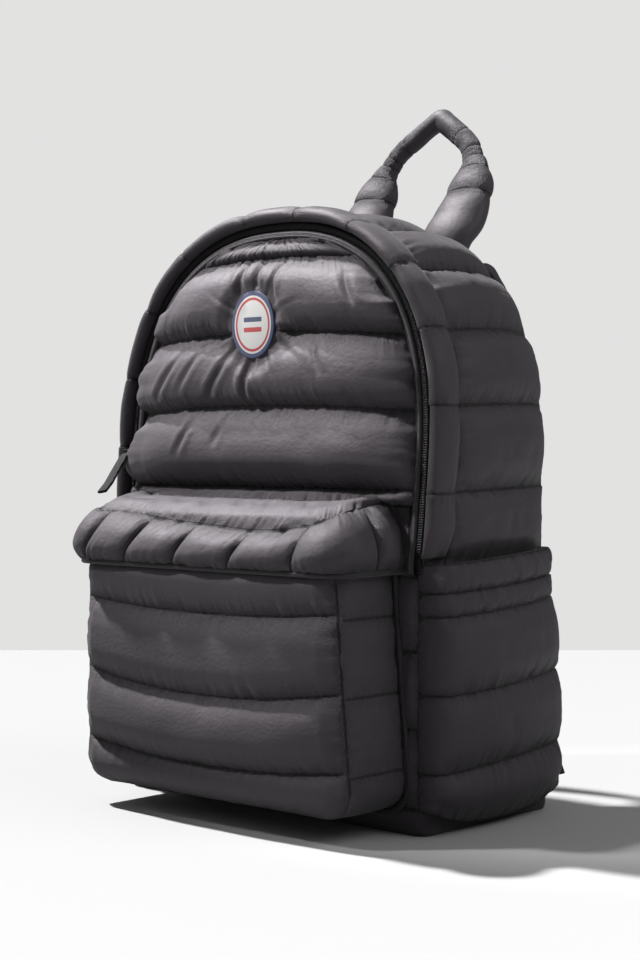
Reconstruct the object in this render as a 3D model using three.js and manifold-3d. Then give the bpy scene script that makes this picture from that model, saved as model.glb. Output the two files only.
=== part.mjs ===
// A quilted puffer backpack, zipped shut and standing on its base.
// Millimetres. +Z is up, -Y is the front, +X is the right-hand side seen from the front.
// The origin is the middle of the base's flat underside.

import * as THREE from "three";
import { mergeVertices } from "three/addons/utils/BufferGeometryUtils.js";
import Module from "manifold-3d";

const wasm = await Module();
wasm.setup();

// Driving sizes
const GAP = 0.3; // between pieces that are sewn together
const BODY_DEPTH = 140; // zip plane to back seam
const ZIP_HALF_WIDTH = 138; // centre line of the bag to the straight run of the zip
const ARCH_SPRING_Z = 247; // where the straight sides turn into the arch
const ARCH_TOP_Z = 402; // top of the zip
const ARCH_ROUNDNESS = 2.4; // exponent of the superellipse
const ARCH_LEAN = 14; // how far the soft front sags to the right at its top
const ARCH_LEAN_POWER = 0.7;
const POCKET_TOP_Z = 180; // of the side pockets, where the zip ends
const QUILT_PITCH = 51.4; // seam to seam on the front
const ARCH_PITCH = 48.5; // seam to seam along the gusset and rim
const BASE_HEIGHT = 18; // the base's turned-up edge
const FRONT_Y = -BODY_DEPTH / 2;
const BACK_Y = BODY_DEPTH / 2;

// How finely the shapes are worked out
const MERGE_TOLERANCE = 1e-3;
const SIMPLIFY_TOLERANCE = 0.05;
const ARCH_TABLE_STEPS = 400;
const ARCH_SMOOTHING = 6; // steps of the table on each side that an outward direction is averaged over
const SHORTEST_CHANNEL = 1;
const CUT_REACH = BODY_DEPTH; // a cutting prism's length past the plane that it starts from

// Colours
const FABRIC = 0x2b2a2e;
const BINDING = 0x232226;
const WEBBING = 0x1b1b1d;
const ZIP_CLOTH = 0x161618;
const ZIP_PLASTIC = 0x121214;
const LACQUER = 0x1a1a1c;
const BUCKLE_PLASTIC = 0x151517;
const PATCH = 0xe8e6e2;

// Outline of the bag seen from the front, by distance s from the top centre (left negative)
function archTable() {
  const table = [];
  let length = 0;
  for (let i = 0; i <= ARCH_TABLE_STEPS; i++) {
    const angle = (Math.PI / 2) * (1 - i / ARCH_TABLE_STEPS);
    const x = ZIP_HALF_WIDTH * Math.pow(Math.max(0, Math.cos(angle)), 2 / ARCH_ROUNDNESS);
    const rise = Math.pow(Math.sin(angle), 2 / ARCH_ROUNDNESS);
    const z = ARCH_SPRING_Z + (ARCH_TOP_Z - ARCH_SPRING_Z) * rise;
    const last = table[table.length - 1];
    if (last) length += Math.hypot(x - last.x, z - last.z);
    table.push({ x, z, s: length });
  }
  return table;
}
const ARCH = archTable();
const ARCH_QUARTER = ARCH[ARCH.length - 1].s;

// How far the front sags to the right at height z
function leanAt(z) {
  const share = THREE.MathUtils.clamp((z - POCKET_TOP_Z) / (ARCH_TOP_Z - POCKET_TOP_Z), 0, 1);
  return ARCH_LEAN * Math.pow(share, ARCH_LEAN_POWER);
}

// Point of the zip line at s, moved outwards by offset. Leaning is its share of the lean:
// 1 in front, 0 at the back
function archPoint(s, offset, leaning = 1) {
  const p = uprightArchPoint(s, offset);
  return new THREE.Vector2(p.x + leanAt(p.y) * leaning, p.y);
}
function uprightArchPoint(s, offset) {
  const side = s < 0 ? -1 : 1;
  const run = Math.abs(s);
  if (run >= ARCH_QUARTER) {
    return new THREE.Vector2(side * (ZIP_HALF_WIDTH + offset), ARCH_SPRING_Z - (run - ARCH_QUARTER));
  }
  const i = Math.max(1, ARCH.findIndex((p) => p.s >= run));
  const [a, b] = [ARCH[i - 1], ARCH[i]];
  const share = (run - a.s) / (b.s - a.s);
  const along = new THREE.Vector2(b.x - a.x, b.z - a.z).normalize();
  const p = ARCH[Math.max(0, i - ARCH_SMOOTHING)];
  const q = ARCH[Math.min(ARCH.length - 1, i + ARCH_SMOOTHING)];
  const mean = i > ARCH_SMOOTHING ? new THREE.Vector2(q.x - p.x, q.z - p.z).normalize() : along;
  const x = a.x + (b.x - a.x) * share - mean.y * offset;
  return new THREE.Vector2(side * x, a.z + (b.z - a.z) * share + mean.x * offset);
}

// Distance s of the straight side at height z
const sAtHeight = (z) => ARCH_QUARTER + ARCH_SPRING_Z - z;

// Half width of the zip line at height z
function halfWidthAt(z) {
  const share = THREE.MathUtils.clamp((z - ARCH_SPRING_Z) / (ARCH_TOP_Z - ARCH_SPRING_Z), 0, 1);
  return ZIP_HALF_WIDTH * Math.pow(1 - Math.pow(share, ARCH_ROUNDNESS), 1 / ARCH_ROUNDNESS);
}

// Height of a stuffed channel, 0 at its seams and 1 in the middle
const puff = (share, squareness = 2.4) => 1 - Math.pow(Math.abs(2 * share - 1), squareness);

// Share of the way through the channel that value lies in
function channelShare(value, seams) {
  if (value <= seams[0] || value >= seams[seams.length - 1]) return 0;
  const i = seams.findIndex((s) => s > value);
  return (value - seams[i - 1]) / (seams[i] - seams[i - 1]);
}

// Seams and the steps between them, from low to high
const CHANNEL_STEPS = [0, 0.14, 0.5, 0.86];
function withSteps(edges) {
  const between = (low, high) => CHANNEL_STEPS.map((share) => low + (high - low) * share);
  return [...edges.slice(1).flatMap((next, i) => between(edges[i], next)), edges[edges.length - 1]];
}
function stations(low, high, seams) {
  const inside = seams.filter((s) => s > low + SHORTEST_CHANNEL && s < high - SHORTEST_CHANNEL);
  return withSteps([low, ...inside, high]);
}
const spread = (low, high, count) =>
  Array.from({ length: count + 1 }, (_, i) => low + ((high - low) * i) / count);

// A closed geometry from triangles whose shared corners are merged
function closed(positions, indices) {
  const geometry = new THREE.BufferGeometry();
  geometry.setAttribute("position", new THREE.Float32BufferAttribute(positions, 3));
  geometry.setIndex(indices);
  const merged = mergeVertices(geometry, MERGE_TOLERANCE);
  merged.computeVertexNormals();
  return merged;
}

// A solid between two grids of points that share their layout, such as a padded wall
function wallBetween(outer, inner) {
  const rows = outer.length;
  const columns = outer[0].length;
  const positions = [...outer, ...inner].flat().flatMap((p) => [p.x, p.y, p.z]);
  const at = (layer, r, c) => layer * rows * columns + r * columns + c;
  const indices = [];
  const quad = (a, b, c, d) => indices.push(a, b, c, a, c, d);
  for (let r = 0; r < rows - 1; r++) {
    for (let c = 0; c < columns - 1; c++) {
      quad(at(0, r, c), at(0, r, c + 1), at(0, r + 1, c + 1), at(0, r + 1, c));
      quad(at(1, r, c), at(1, r + 1, c), at(1, r + 1, c + 1), at(1, r, c + 1));
    }
  }
  for (let c = 0; c < columns - 1; c++) {
    quad(at(0, 0, c + 1), at(0, 0, c), at(1, 0, c), at(1, 0, c + 1));
    quad(at(0, rows - 1, c), at(0, rows - 1, c + 1), at(1, rows - 1, c + 1), at(1, rows - 1, c));
  }
  for (let r = 0; r < rows - 1; r++) {
    quad(at(0, r, 0), at(0, r + 1, 0), at(1, r + 1, 0), at(1, r, 0));
    quad(at(0, r + 1, columns - 1), at(0, r, columns - 1), at(1, r, columns - 1), at(1, r + 1, columns - 1));
  }
  return rightWayOut(closed(positions, indices));
}

// A solid through rings of points, closed by a flat cap at each end
function throughRings(rings, section) {
  const count = rings[0].length;
  const positions = rings.flat().flatMap((p) => [p.x, p.y, p.z]);
  const indices = [];
  for (let r = 0; r < rings.length - 1; r++) {
    for (let i = 0; i < count; i++) {
      const [a, b] = [r * count + i, r * count + ((i + 1) % count)];
      indices.push(a, b, b + count, a, b + count, a + count);
    }
  }
  const last = (rings.length - 1) * count;
  const turn = Math.sign(THREE.ShapeUtils.area(section));
  for (const corners of THREE.ShapeUtils.triangulateShape(section, [])) {
    const sameTurn = Math.sign(THREE.ShapeUtils.area(corners.map((i) => section[i]))) === turn;
    const [a, b, c] = sameTurn ? corners : corners.toReversed();
    indices.push(a, c, b, last + a, last + b, last + c);
  }
  return rightWayOut(closed(positions, indices));
}

// The same geometry with its faces pointing out
function rightWayOut(geometry) {
  const p = geometry.attributes.position;
  const index = geometry.index.array;
  const [a, b, c] = [new THREE.Vector3(), new THREE.Vector3(), new THREE.Vector3()];
  let volume = 0;
  for (let i = 0; i < index.length; i += 3) {
    a.fromBufferAttribute(p, index[i]);
    b.fromBufferAttribute(p, index[i + 1]);
    c.fromBufferAttribute(p, index[i + 2]);
    volume += a.dot(b.cross(c));
  }
  if (volume < 0) {
    for (let i = 0; i < index.length; i += 3) [index[i + 1], index[i + 2]] = [index[i + 2], index[i + 1]];
  }
  return geometry;
}

// The same piece on the other side of the bag
const mirrored = (geometry) => rightWayOut(geometry.clone().scale(-1, 1, 1));

// A solid for cutting and joining, and back again
function toSolid(geometry) {
  const bare = new THREE.BufferGeometry().setAttribute("position", geometry.attributes.position.clone());
  if (geometry.index) bare.setIndex(geometry.index.clone());
  const merged = mergeVertices(bare, MERGE_TOLERANCE);
  return new wasm.Manifold(
    new wasm.Mesh({
      numProp: 3,
      vertProperties: new Float32Array(merged.attributes.position.array),
      triVerts: new Uint32Array(merged.index.array),
    }),
  );
}
function toGeometry(solid) {
  const mesh = solid.getMesh();
  const geometry = new THREE.BufferGeometry();
  geometry.setAttribute("position", new THREE.BufferAttribute(new Float32Array(mesh.vertProperties), 3));
  geometry.setIndex(new THREE.BufferAttribute(new Uint32Array(mesh.triVerts), 1));
  geometry.computeVertexNormals();
  return geometry;
}

// A flat outline in X and Z, extruded along Y from front to back
function prismAlongY(outline, front, back) {
  const shape = new THREE.Shape(outline);
  const geometry = new THREE.ExtrudeGeometry(shape, { depth: back - front, bevelEnabled: false, steps: 1 });
  geometry.rotateX(Math.PI / 2);
  geometry.translate(0, back, 0);
  return toSolid(geometry);
}

const backpack = new THREE.Group();
function add(name, geometry, colour = FABRIC, roughness = 0.62) {
  const material = new THREE.MeshStandardMaterial({ color: colour, roughness, metalness: 0 });
  const mesh = new THREE.Mesh(geometry, material);
  mesh.name = name;
  backpack.add(mesh);
}

// Gusset: the padded wall over the top and down both sides, quilted across
const WALL = 9;
const GUSSET_OFFSET = 4; // its seams, outwards of the zip line
const GUSSET_PUFF = 7;
const GUSSET_SQUARENESS = 5; // of its puffs, from front to back
const GUSSET_TAPER = 11; // how much nearer to the middle its back seam lies, above the side pockets
const GUSSET_PUFF_BEHIND_POCKET = 1.5;
const RIM_WIDTH = 30;
const RIM_LIP = 9; // how far the rim stands in front of the zip plane
const RIM_BACK_Y = FRONT_Y - RIM_LIP + RIM_WIDTH;
const BACK_THICKNESS = 12;
const TAPE_THICKNESS = 1.2;
const GUSSET_FRONT_Y = FRONT_Y + GAP;
const GUSSET_BACK_Y = BACK_Y - BACK_THICKNESS - GAP;
const GUSSET_BOTTOM_S = sAtHeight(BASE_HEIGHT + GAP);

const ARCH_SEAMS = [];
for (let s = ARCH_PITCH / 2; s < GUSSET_BOTTOM_S; s += ARCH_PITCH) ARCH_SEAMS.push(-s, s);
ARCH_SEAMS.sort((a, b) => a - b);

const taperAt = (z) => GUSSET_TAPER * THREE.MathUtils.smoothstep(z, BASE_HEIGHT, POCKET_TOP_Z);
const GUSSET_ROWS = [0, 0.12, 0.5, 0.88, 1]; // shares of the way from the rim to the back seam
function gussetPuff(s, share) {
  const { y: z } = archPoint(s, 0);
  const height = z < POCKET_TOP_Z + WALL ? GUSSET_PUFF_BEHIND_POCKET : GUSSET_PUFF;
  const ends = [-GUSSET_BOTTOM_S, ...ARCH_SEAMS, GUSSET_BOTTOM_S];
  return height * puff(channelShare(s, ends)) * puff(share, GUSSET_SQUARENESS);
}
function gusset() {
  const bends = [-1, 1].map((side) => side * sAtHeight(POCKET_TOP_Z));
  const rows = [...stations(-GUSSET_BOTTOM_S, GUSSET_BOTTOM_S, ARCH_SEAMS), ...bends].sort((a, b) => a - b);
  const rings = rows.map((s) => {
    const taper = taperAt(archPoint(s, 0).y);
    const outer = GUSSET_ROWS.map((share) => {
      const y = RIM_BACK_Y + (GUSSET_BACK_Y - RIM_BACK_Y) * share;
      const p = archPoint(s, GUSSET_OFFSET - taper * share + gussetPuff(s, share), 1 - share);
      return new THREE.Vector3(p.x, y, p.y);
    });
    const front = archPoint(s, GUSSET_OFFSET);
    const innerFront = archPoint(s, GUSSET_OFFSET - WALL);
    const innerBack = archPoint(s, GUSSET_OFFSET - taper - WALL, 0);
    return [
      new THREE.Vector3(front.x, GUSSET_FRONT_Y, front.y),
      ...outer,
      new THREE.Vector3(innerBack.x, GUSSET_BACK_Y, innerBack.y),
      new THREE.Vector3(innerFront.x, GUSSET_FRONT_Y, innerFront.y),
    ];
  });
  const section = [
    new THREE.Vector2(GUSSET_OFFSET, GUSSET_FRONT_Y),
    ...GUSSET_ROWS.map(
      (share) => new THREE.Vector2(GUSSET_OFFSET, RIM_BACK_Y + (GUSSET_BACK_Y - RIM_BACK_Y) * share),
    ),
    new THREE.Vector2(GUSSET_OFFSET - WALL, GUSSET_BACK_Y),
    new THREE.Vector2(GUSSET_OFFSET - WALL, GUSSET_FRONT_Y),
  ];
  return throughRings(rings, section);
}
add("gusset", gusset());

// Rim: the stuffed flap that stands round the zip and shields it
const RIM_HEIGHT = 9;
const RIM_PINCH = 0.78; // share of its height left at a seam
const RIM_BOTTOM_S = sAtHeight(POCKET_TOP_Z + GAP);
const RIM_SECTION = [
  // share of its height, share of its width from the front
  [0.02, 0.97],
  [0.55, 1],
  [0.9, 0.85],
  [1, 0.55],
  [0.96, 0.22],
  [0.7, 0.03],
  [0.3, 0],
  [0.02, 0.12],
];
function rim() {
  const seams = ARCH_SEAMS.filter((s) => Math.abs(s) < RIM_BOTTOM_S);
  const rings = stations(-RIM_BOTTOM_S, RIM_BOTTOM_S, seams).map((s) => {
    const full = RIM_PINCH + (1 - RIM_PINCH) * puff(channelShare(s, [-RIM_BOTTOM_S, ...seams, RIM_BOTTOM_S]));
    return RIM_SECTION.map(([up, across]) => {
      const p = archPoint(s, GUSSET_OFFSET + GAP + RIM_HEIGHT * up * full);
      return new THREE.Vector3(p.x, FRONT_Y - RIM_LIP + RIM_WIDTH * across, p.y);
    });
  });
  return throughRings(rings, RIM_SECTION.map(([up, across]) => new THREE.Vector2(up, across)));
}
add("rim", rim());

// Zip: a tape sewn between the front panel and the gusset, with the coil on it
const TAPE_INNER = -8.5; // the tape's edges, measured outwards from the zip line
const COIL_WIDTH = 5;
const COIL_HEIGHT = 2.4;
const ZIP_STEPS = 44;
const ZIP_BOTTOM_S = sAtHeight(POCKET_TOP_Z);
function alongZip(inner, outer, frontY, backY) {
  const rings = spread(-ZIP_BOTTOM_S, ZIP_BOTTOM_S, ZIP_STEPS).map((s) => {
    const [p, q] = [archPoint(s, inner), archPoint(s, outer)];
    return [
      new THREE.Vector3(p.x, frontY, p.y),
      new THREE.Vector3(q.x, frontY, q.y),
      new THREE.Vector3(q.x, backY, q.y),
      new THREE.Vector3(p.x, backY, p.y),
    ];
  });
  const section = [
    new THREE.Vector2(0, 0),
    new THREE.Vector2(1, 0),
    new THREE.Vector2(1, 1),
    new THREE.Vector2(0, 1),
  ];
  return throughRings(rings, section);
}
const TAPE_FRONT_Y = FRONT_Y - TAPE_THICKNESS;
add("zip_tape", alongZip(TAPE_INNER, GUSSET_OFFSET, TAPE_FRONT_Y, FRONT_Y), ZIP_CLOTH, 0.8);
const COIL_FRONT_Y = TAPE_FRONT_Y - GAP - COIL_HEIGHT;
add(
  "zip_coil",
  alongZip(-COIL_WIDTH / 2, COIL_WIDTH / 2, COIL_FRONT_Y, TAPE_FRONT_Y - GAP),
  ZIP_PLASTIC,
  0.45,
);

// Front panel: one quilted padded panel from the base to the top of the arch
const PANEL_WALL = 8;
const PANEL_PUFF = 9;
const PANEL_CROWN = 12; // how far its middle swells in front of its edges
const CROWN_REACH = 60; // distance from the edge over which it swells
const STUFFED_REACH = 24; // distance from the edge at which its channels are full
const FLAP_SEAM_Z = 218;
const FLAP_CLEARANCE = 2; // the panel is flat up to this far above the flap's seam
const PANEL_INSET = -TAPE_INNER + GAP; // its edge, inwards of the zip line
const PANEL_FRONT_Y = FRONT_Y - TAPE_THICKNESS;
const PANEL_BACK_Y = FRONT_Y + PANEL_WALL;
const PANEL_COLUMNS = 12;
const OUTLINE_STEPS = 56;
const BADGE = { x: 8, z: 335, halfWidth: 20, halfHeight: 23, thickness: 1.6, seatDepth: 12 };

const FRONT_SEAMS = [];
for (let z = BASE_HEIGHT + GAP; z < ARCH_TOP_Z; z += QUILT_PITCH) FRONT_SEAMS.push(z);
const FIRST_SHOWN_SEAM = FRONT_SEAMS.findIndex((z) => z > FLAP_SEAM_Z);

// Outline moved outwards by offset from the zip line, closed at bottomZ
function outlineAt(offset, bottomZ) {
  const bottom = sAtHeight(bottomZ);
  return spread(-bottom, bottom, OUTLINE_STEPS).map((s) => archPoint(s, offset));
}
// Outline of the back, outwards of its seam by offset, closed at bottomZ
function backOutline(offset, bottomZ) {
  const bottom = sAtHeight(bottomZ);
  return spread(-bottom, bottom, OUTLINE_STEPS).map((s) => {
    const taper = taperAt(archPoint(s, 0).y);
    return archPoint(s, GUSSET_OFFSET - taper + offset, 0);
  });
}
// The panel's outline: inside the zip's tape, and below the zip out to the gusset's walls
function panelOutline() {
  const arch = outlineAt(-PANEL_INSET, POCKET_TOP_Z);
  const taper = (GUSSET_TAPER * PANEL_WALL) / (GUSSET_BACK_Y - GUSSET_FRONT_Y);
  const half = ZIP_HALF_WIDTH + GUSSET_OFFSET - WALL - taper - GAP;
  const bottomZ = BASE_HEIGHT + GAP;
  const corners = [[-half, POCKET_TOP_Z], [-half, bottomZ], [half, bottomZ], [half, POCKET_TOP_Z]];
  const [left, ...rest] = corners.map(([x, z]) => new THREE.Vector2(x, z));
  return [...arch, rest[2], rest[1], rest[0], left];
}
const PANEL_ARCH = outlineAt(-PANEL_INSET, BASE_HEIGHT);
function edgeDistance(x, z) {
  return Math.min(...PANEL_ARCH.map((p) => Math.hypot(p.x - x, p.y - z)));
}
function panelSwell(x, z) {
  if (z <= FLAP_SEAM_Z + FLAP_CLEARANCE) return 0;
  const inside = Math.abs(x - leanAt(z)) < halfWidthAt(z) - PANEL_INSET && z < ARCH_TOP_Z - PANEL_INSET;
  if (!inside) return 0;
  const distance = edgeDistance(x, z);
  const fromEdge = Math.min(1, distance / CROWN_REACH);
  const fromFlap = Math.min(1, (z - FLAP_SEAM_Z) / (QUILT_PITCH / 2));
  const crown = PANEL_CROWN * (1 - Math.pow(1 - fromEdge, 2)) * fromFlap;
  const seams = [...FRONT_SEAMS.slice(FIRST_SHOWN_SEAM), ARCH_TOP_Z];
  const stuffed = PANEL_PUFF * puff(channelShare(z, seams)) * Math.min(1, distance / STUFFED_REACH);
  return crown + stuffed;
}
const SEAT_Y = PANEL_FRONT_Y - BADGE.seatDepth;
function oval(halfWidth, halfHeight, sides = 20) {
  return spread(0, 2 * Math.PI, sides)
    .slice(0, -1)
    .map((a) => new THREE.Vector2(BADGE.x + halfWidth * Math.cos(a), BADGE.z + halfHeight * Math.sin(a)));
}
function frontPanel() {
  const bottomZ = BASE_HEIGHT + GAP;
  const rows = stations(FRONT_SEAMS[FIRST_SHOWN_SEAM], ARCH_TOP_Z, FRONT_SEAMS);
  const heights = [bottomZ, FLAP_SEAM_Z + FLAP_CLEARANCE, ...rows];
  const columns = spread(-ZIP_HALF_WIDTH, ZIP_HALF_WIDTH + ARCH_LEAN, PANEL_COLUMNS);
  const grid = (yAt) => heights.map((z) => columns.map((x) => new THREE.Vector3(x, yAt(x, z), z)));
  const outer = grid((x, z) => PANEL_FRONT_Y - panelSwell(x, z));
  const inner = grid(() => PANEL_BACK_Y);
  const prism = prismAlongY(panelOutline(), FRONT_Y - CUT_REACH, FRONT_Y + CUT_REACH);
  const seatOutline = oval(BADGE.halfWidth + GAP, BADGE.halfHeight + GAP);
  const seat = prismAlongY(seatOutline, FRONT_Y - CUT_REACH, SEAT_Y);
  const slab = toSolid(wallBetween(outer, inner)).intersect(prism);
  return toGeometry(slab.subtract(seat).simplify(SIMPLIFY_TOLERANCE));
}
add("front_panel", frontPanel());

// Badge: an oval woven patch sewn to the front panel
function badge() {
  const outline = oval(BADGE.halfWidth, BADGE.halfHeight);
  return toGeometry(prismAlongY(outline, SEAT_Y - GAP - BADGE.thickness, SEAT_Y - GAP));
}
add("badge", badge(), PATCH, 0.7);

// Back panel: a plain padded panel that lies on the wearer's back
const BACK_BULGE = 3;
const BACK_BEVEL = 4;
function backPanel() {
  const bottomZ = BASE_HEIGHT + GAP;
  const outline = backOutline(-BACK_BEVEL, bottomZ + BACK_BEVEL);
  const geometry = new THREE.ExtrudeGeometry(new THREE.Shape(outline), {
    depth: BACK_THICKNESS - BACK_BEVEL,
    bevelEnabled: true,
    bevelThickness: BACK_BEVEL,
    bevelSize: BACK_BEVEL,
    bevelSegments: 2,
    steps: 1,
  });
  geometry.rotateX(Math.PI / 2);
  geometry.translate(0, BACK_Y, 0);
  const inside = prismAlongY(
    backOutline(BACK_BEVEL, bottomZ - BACK_BEVEL),
    BACK_Y - BACK_THICKNESS,
    BACK_Y + BACK_BULGE,
  );
  return toGeometry(toSolid(geometry).intersect(inside));
}
add("back_panel", backPanel());

// Base: a tray of plain fabric on a stiff board, flat underneath
const BASE_HALF_WIDTH = ZIP_HALF_WIDTH + GUSSET_OFFSET;
const BASE_CORNER = 10;
const BASE_WALL = 4;
const BASE_SIDES = 4; // steps round each corner
const BASE_INSET = 4; // of its flat underside from its outline
const BASE_LEVELS = [
  // shares of the base's height and of its inset
  { level: 0, inset: 1 },
  { level: 0.12, inset: 0.4 },
  { level: 0.45, inset: 0.075 },
  { level: 1, inset: 0 },
];
function roundedRectangle(halfWidth, halfDepth, corner, sides) {
  const points = [];
  for (const [sx, sy, start] of [[1, 1, 0], [-1, 1, 1], [-1, -1, 2], [1, -1, 3]]) {
    for (const share of spread(0, 1, sides)) {
      const angle = ((start + share) * Math.PI) / 2;
      const x = sx * (halfWidth - corner) + corner * Math.cos(angle);
      const y = sy * (halfDepth - corner) + corner * Math.sin(angle);
      points.push(new THREE.Vector2(x, y));
    }
  }
  return points;
}
function base() {
  const halfDepth = BODY_DEPTH / 2;
  const ring = (inset, z) =>
    roundedRectangle(BASE_HALF_WIDTH - inset, halfDepth - inset, BASE_CORNER - inset, BASE_SIDES).map(
      (p) => new THREE.Vector3(p.x, p.y, z),
    );
  const rings = BASE_LEVELS.map(({ level, inset }) => ring(inset * BASE_INSET, level * BASE_HEIGHT));
  rings.push(ring(BASE_WALL, BASE_HEIGHT), ring(BASE_WALL + BASE_INSET, BASE_WALL));
  const cap = roundedRectangle(BASE_HALF_WIDTH, halfDepth, BASE_CORNER, BASE_SIDES);
  return throughRings(rings, cap);
}
add("base", base());

// Front pocket: a quilted front, and a gusset round its sides and bottom
const POCKET_DEPTH = 58;
const POCKET_STRIP = 23.5; // of the zip line past the pocket, on each side of its mouth
const POCKET_HALF_WIDTH = ZIP_HALF_WIDTH - POCKET_STRIP; // at its mouth
const POCKET_FLARE = 9.5; // how much wider it is at the bottom, each side
const POCKET_FLARE_POWER = 0.8;
const POCKET_SAG = 7; // how far its bottom sags to the right
const POCKET_SAG_POWER = 2;
const POCKET_BOTTOM_Z = 17;
const POCKET_MOUTH_Z = 196;
const POCKET_PITCH = 49.5;
const POCKET_WALL = 6;
const POCKET_GUSSET_PUFF = 3;
const POCKET_PUFF = 9;
const POCKET_CROWN = 10;
const POCKET_SQUARENESS = 3; // of its crown, from side to side
const POCKET_CORNER = 20;
const POCKET_CORNER_STEPS = 4;
const POCKET_COLUMNS = 10;
const POCKET_TUCK = 18; // below the flap's edge, over which the pocket slims down to go under it
const FLAP_BOTTOM_Z = 172;
const POCKET_BACK_Y = PANEL_FRONT_Y - GAP;
const POCKET_FRONT_Y = FRONT_Y - POCKET_DEPTH;
const POCKET_SEAMS = [];
for (let z = POCKET_MOUTH_Z; z > POCKET_BOTTOM_Z; z -= POCKET_PITCH) POCKET_SEAMS.unshift(z);
POCKET_SEAMS.unshift(POCKET_BOTTOM_Z);

// Share of the way down from the pocket's mouth, then its half width and its sag to the right
function pocketDrop(z) {
  return THREE.MathUtils.clamp((POCKET_MOUTH_Z - z) / (POCKET_MOUTH_Z - POCKET_BOTTOM_Z), 0, 1);
}
const pocketHalfWidth = (z) => POCKET_HALF_WIDTH + POCKET_FLARE * Math.pow(pocketDrop(z), POCKET_FLARE_POWER);
const pocketSag = (z) => POCKET_SAG * Math.pow(pocketDrop(z), POCKET_SAG_POWER);
// The pocket's outline from its mouth on the left, round the bottom, to its mouth on the right
function pocketPath(inset) {
  const half = (z) => pocketHalfWidth(z) - inset;
  const floorZ = POCKET_BOTTOM_Z + inset;
  const corner = POCKET_CORNER - inset;
  const cornerZ = floorZ + corner;
  const side = stations(cornerZ, POCKET_MOUTH_Z, POCKET_SEAMS).map((z) => new THREE.Vector2(half(z), z));
  const turn = spread(0, Math.PI / 2, POCKET_CORNER_STEPS)
    .slice(0, -1)
    .map((a) => {
      const x = half(cornerZ) - corner + corner * Math.sin(a);
      return new THREE.Vector2(x, cornerZ - corner * Math.cos(a));
    });
  const right = [...turn, ...side];
  const left = right.map((p) => new THREE.Vector2(-p.x, p.y)).reverse();
  return [...left, ...right].map((p) => new THREE.Vector2(p.x + pocketSag(p.y), p.y));
}
const POCKET_OUTER = pocketPath(0);
const POCKET_INNER = pocketPath(POCKET_WALL);

function pocketGusset() {
  const back = POCKET_BACK_Y;
  const front = POCKET_FRONT_Y + POCKET_WALL + GAP;
  const middle = (back + front) / 2;
  const rings = POCKET_OUTER.map((p, i) => {
    const q = POCKET_INNER[i];
    const swell = POCKET_GUSSET_PUFF * puff(channelShare(p.y, POCKET_SEAMS));
    const out = p.clone().sub(q).setLength(swell);
    return [
      new THREE.Vector3(p.x, back, p.y),
      new THREE.Vector3(p.x + out.x, middle, p.y + Math.max(0, out.y)),
      new THREE.Vector3(p.x, front, p.y),
      new THREE.Vector3(q.x, front, q.y),
      new THREE.Vector3(q.x, back, q.y),
    ];
  });
  const section = [
    new THREE.Vector2(1, 2),
    new THREE.Vector2(1.2, 1),
    new THREE.Vector2(1, 0),
    new THREE.Vector2(0, 0),
    new THREE.Vector2(0, 2),
  ];
  return throughRings(rings, section);
}
add("pocket_gusset", pocketGusset());

function pocketSwell(x, z) {
  const aside = Math.abs(x - pocketSag(z)) / pocketHalfWidth(z);
  const across = Math.max(0, 1 - Math.pow(aside, POCKET_SQUARENESS));
  const up = Math.min(1, Math.max(0, z - POCKET_BOTTOM_Z) / QUILT_PITCH);
  const tuck = THREE.MathUtils.clamp((FLAP_BOTTOM_Z - z) / POCKET_TUCK, 0, 1);
  return across * tuck * (POCKET_CROWN * up + POCKET_PUFF * puff(channelShare(z, POCKET_SEAMS)));
}
function pocketFront() {
  const heights = stations(POCKET_BOTTOM_Z, POCKET_MOUTH_Z, POCKET_SEAMS);
  const widest = POCKET_HALF_WIDTH + POCKET_FLARE;
  const columns = spread(-widest, widest + POCKET_SAG, POCKET_COLUMNS);
  const grid = (yAt) => heights.map((z) => columns.map((x) => new THREE.Vector3(x, yAt(x, z), z)));
  const outer = grid((x, z) => POCKET_FRONT_Y - pocketSwell(x, z));
  const inner = grid(() => POCKET_FRONT_Y + POCKET_WALL);
  const prism = prismAlongY(POCKET_OUTER, POCKET_FRONT_Y - CUT_REACH, FRONT_Y);
  return toGeometry(toSolid(wallBetween(outer, inner)).intersect(prism).simplify(SIMPLIFY_TOLERANCE));
}
add("pocket_front", pocketFront());

// A cord or piping through points, with a round section
function piping(points, radius, steps, sides = 6) {
  const curve = new THREE.CatmullRomCurve3(points, false, "centripetal");
  const section = new THREE.Shape(
    spread(0, 2 * Math.PI, sides)
      .slice(0, -1)
      .map((a) => new THREE.Vector2(radius * Math.cos(a), radius * Math.sin(a))),
  );
  return new THREE.ExtrudeGeometry(section, { extrudePath: curve, steps, bevelEnabled: false });
}

// Pocket piping: the corded seam that joins the pocket's gusset to the front panel
const PIPING_RADIUS = 2;
const POCKET_PIPING_STEPS = 40;
function pocketPiping() {
  const out = POCKET_GUSSET_PUFF / 2 + PIPING_RADIUS + GAP;
  const y = PANEL_FRONT_Y - GAP - PIPING_RADIUS;
  const topZ = FLAP_BOTTOM_Z - PIPING_RADIUS * 2 - GAP * 2;
  const path = pocketPath(-out).filter((p) => p.y < topZ - CHANNEL_STEPS[1] * POCKET_PITCH);
  const ends = [path[0], path[path.length - 1]].map((p) => new THREE.Vector2(p.x, topZ));
  const points = [ends[0], ...path, ends[1]].map((p) => new THREE.Vector3(p.x, y, p.y));
  return piping(points, PIPING_RADIUS, POCKET_PIPING_STEPS);
}

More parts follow.
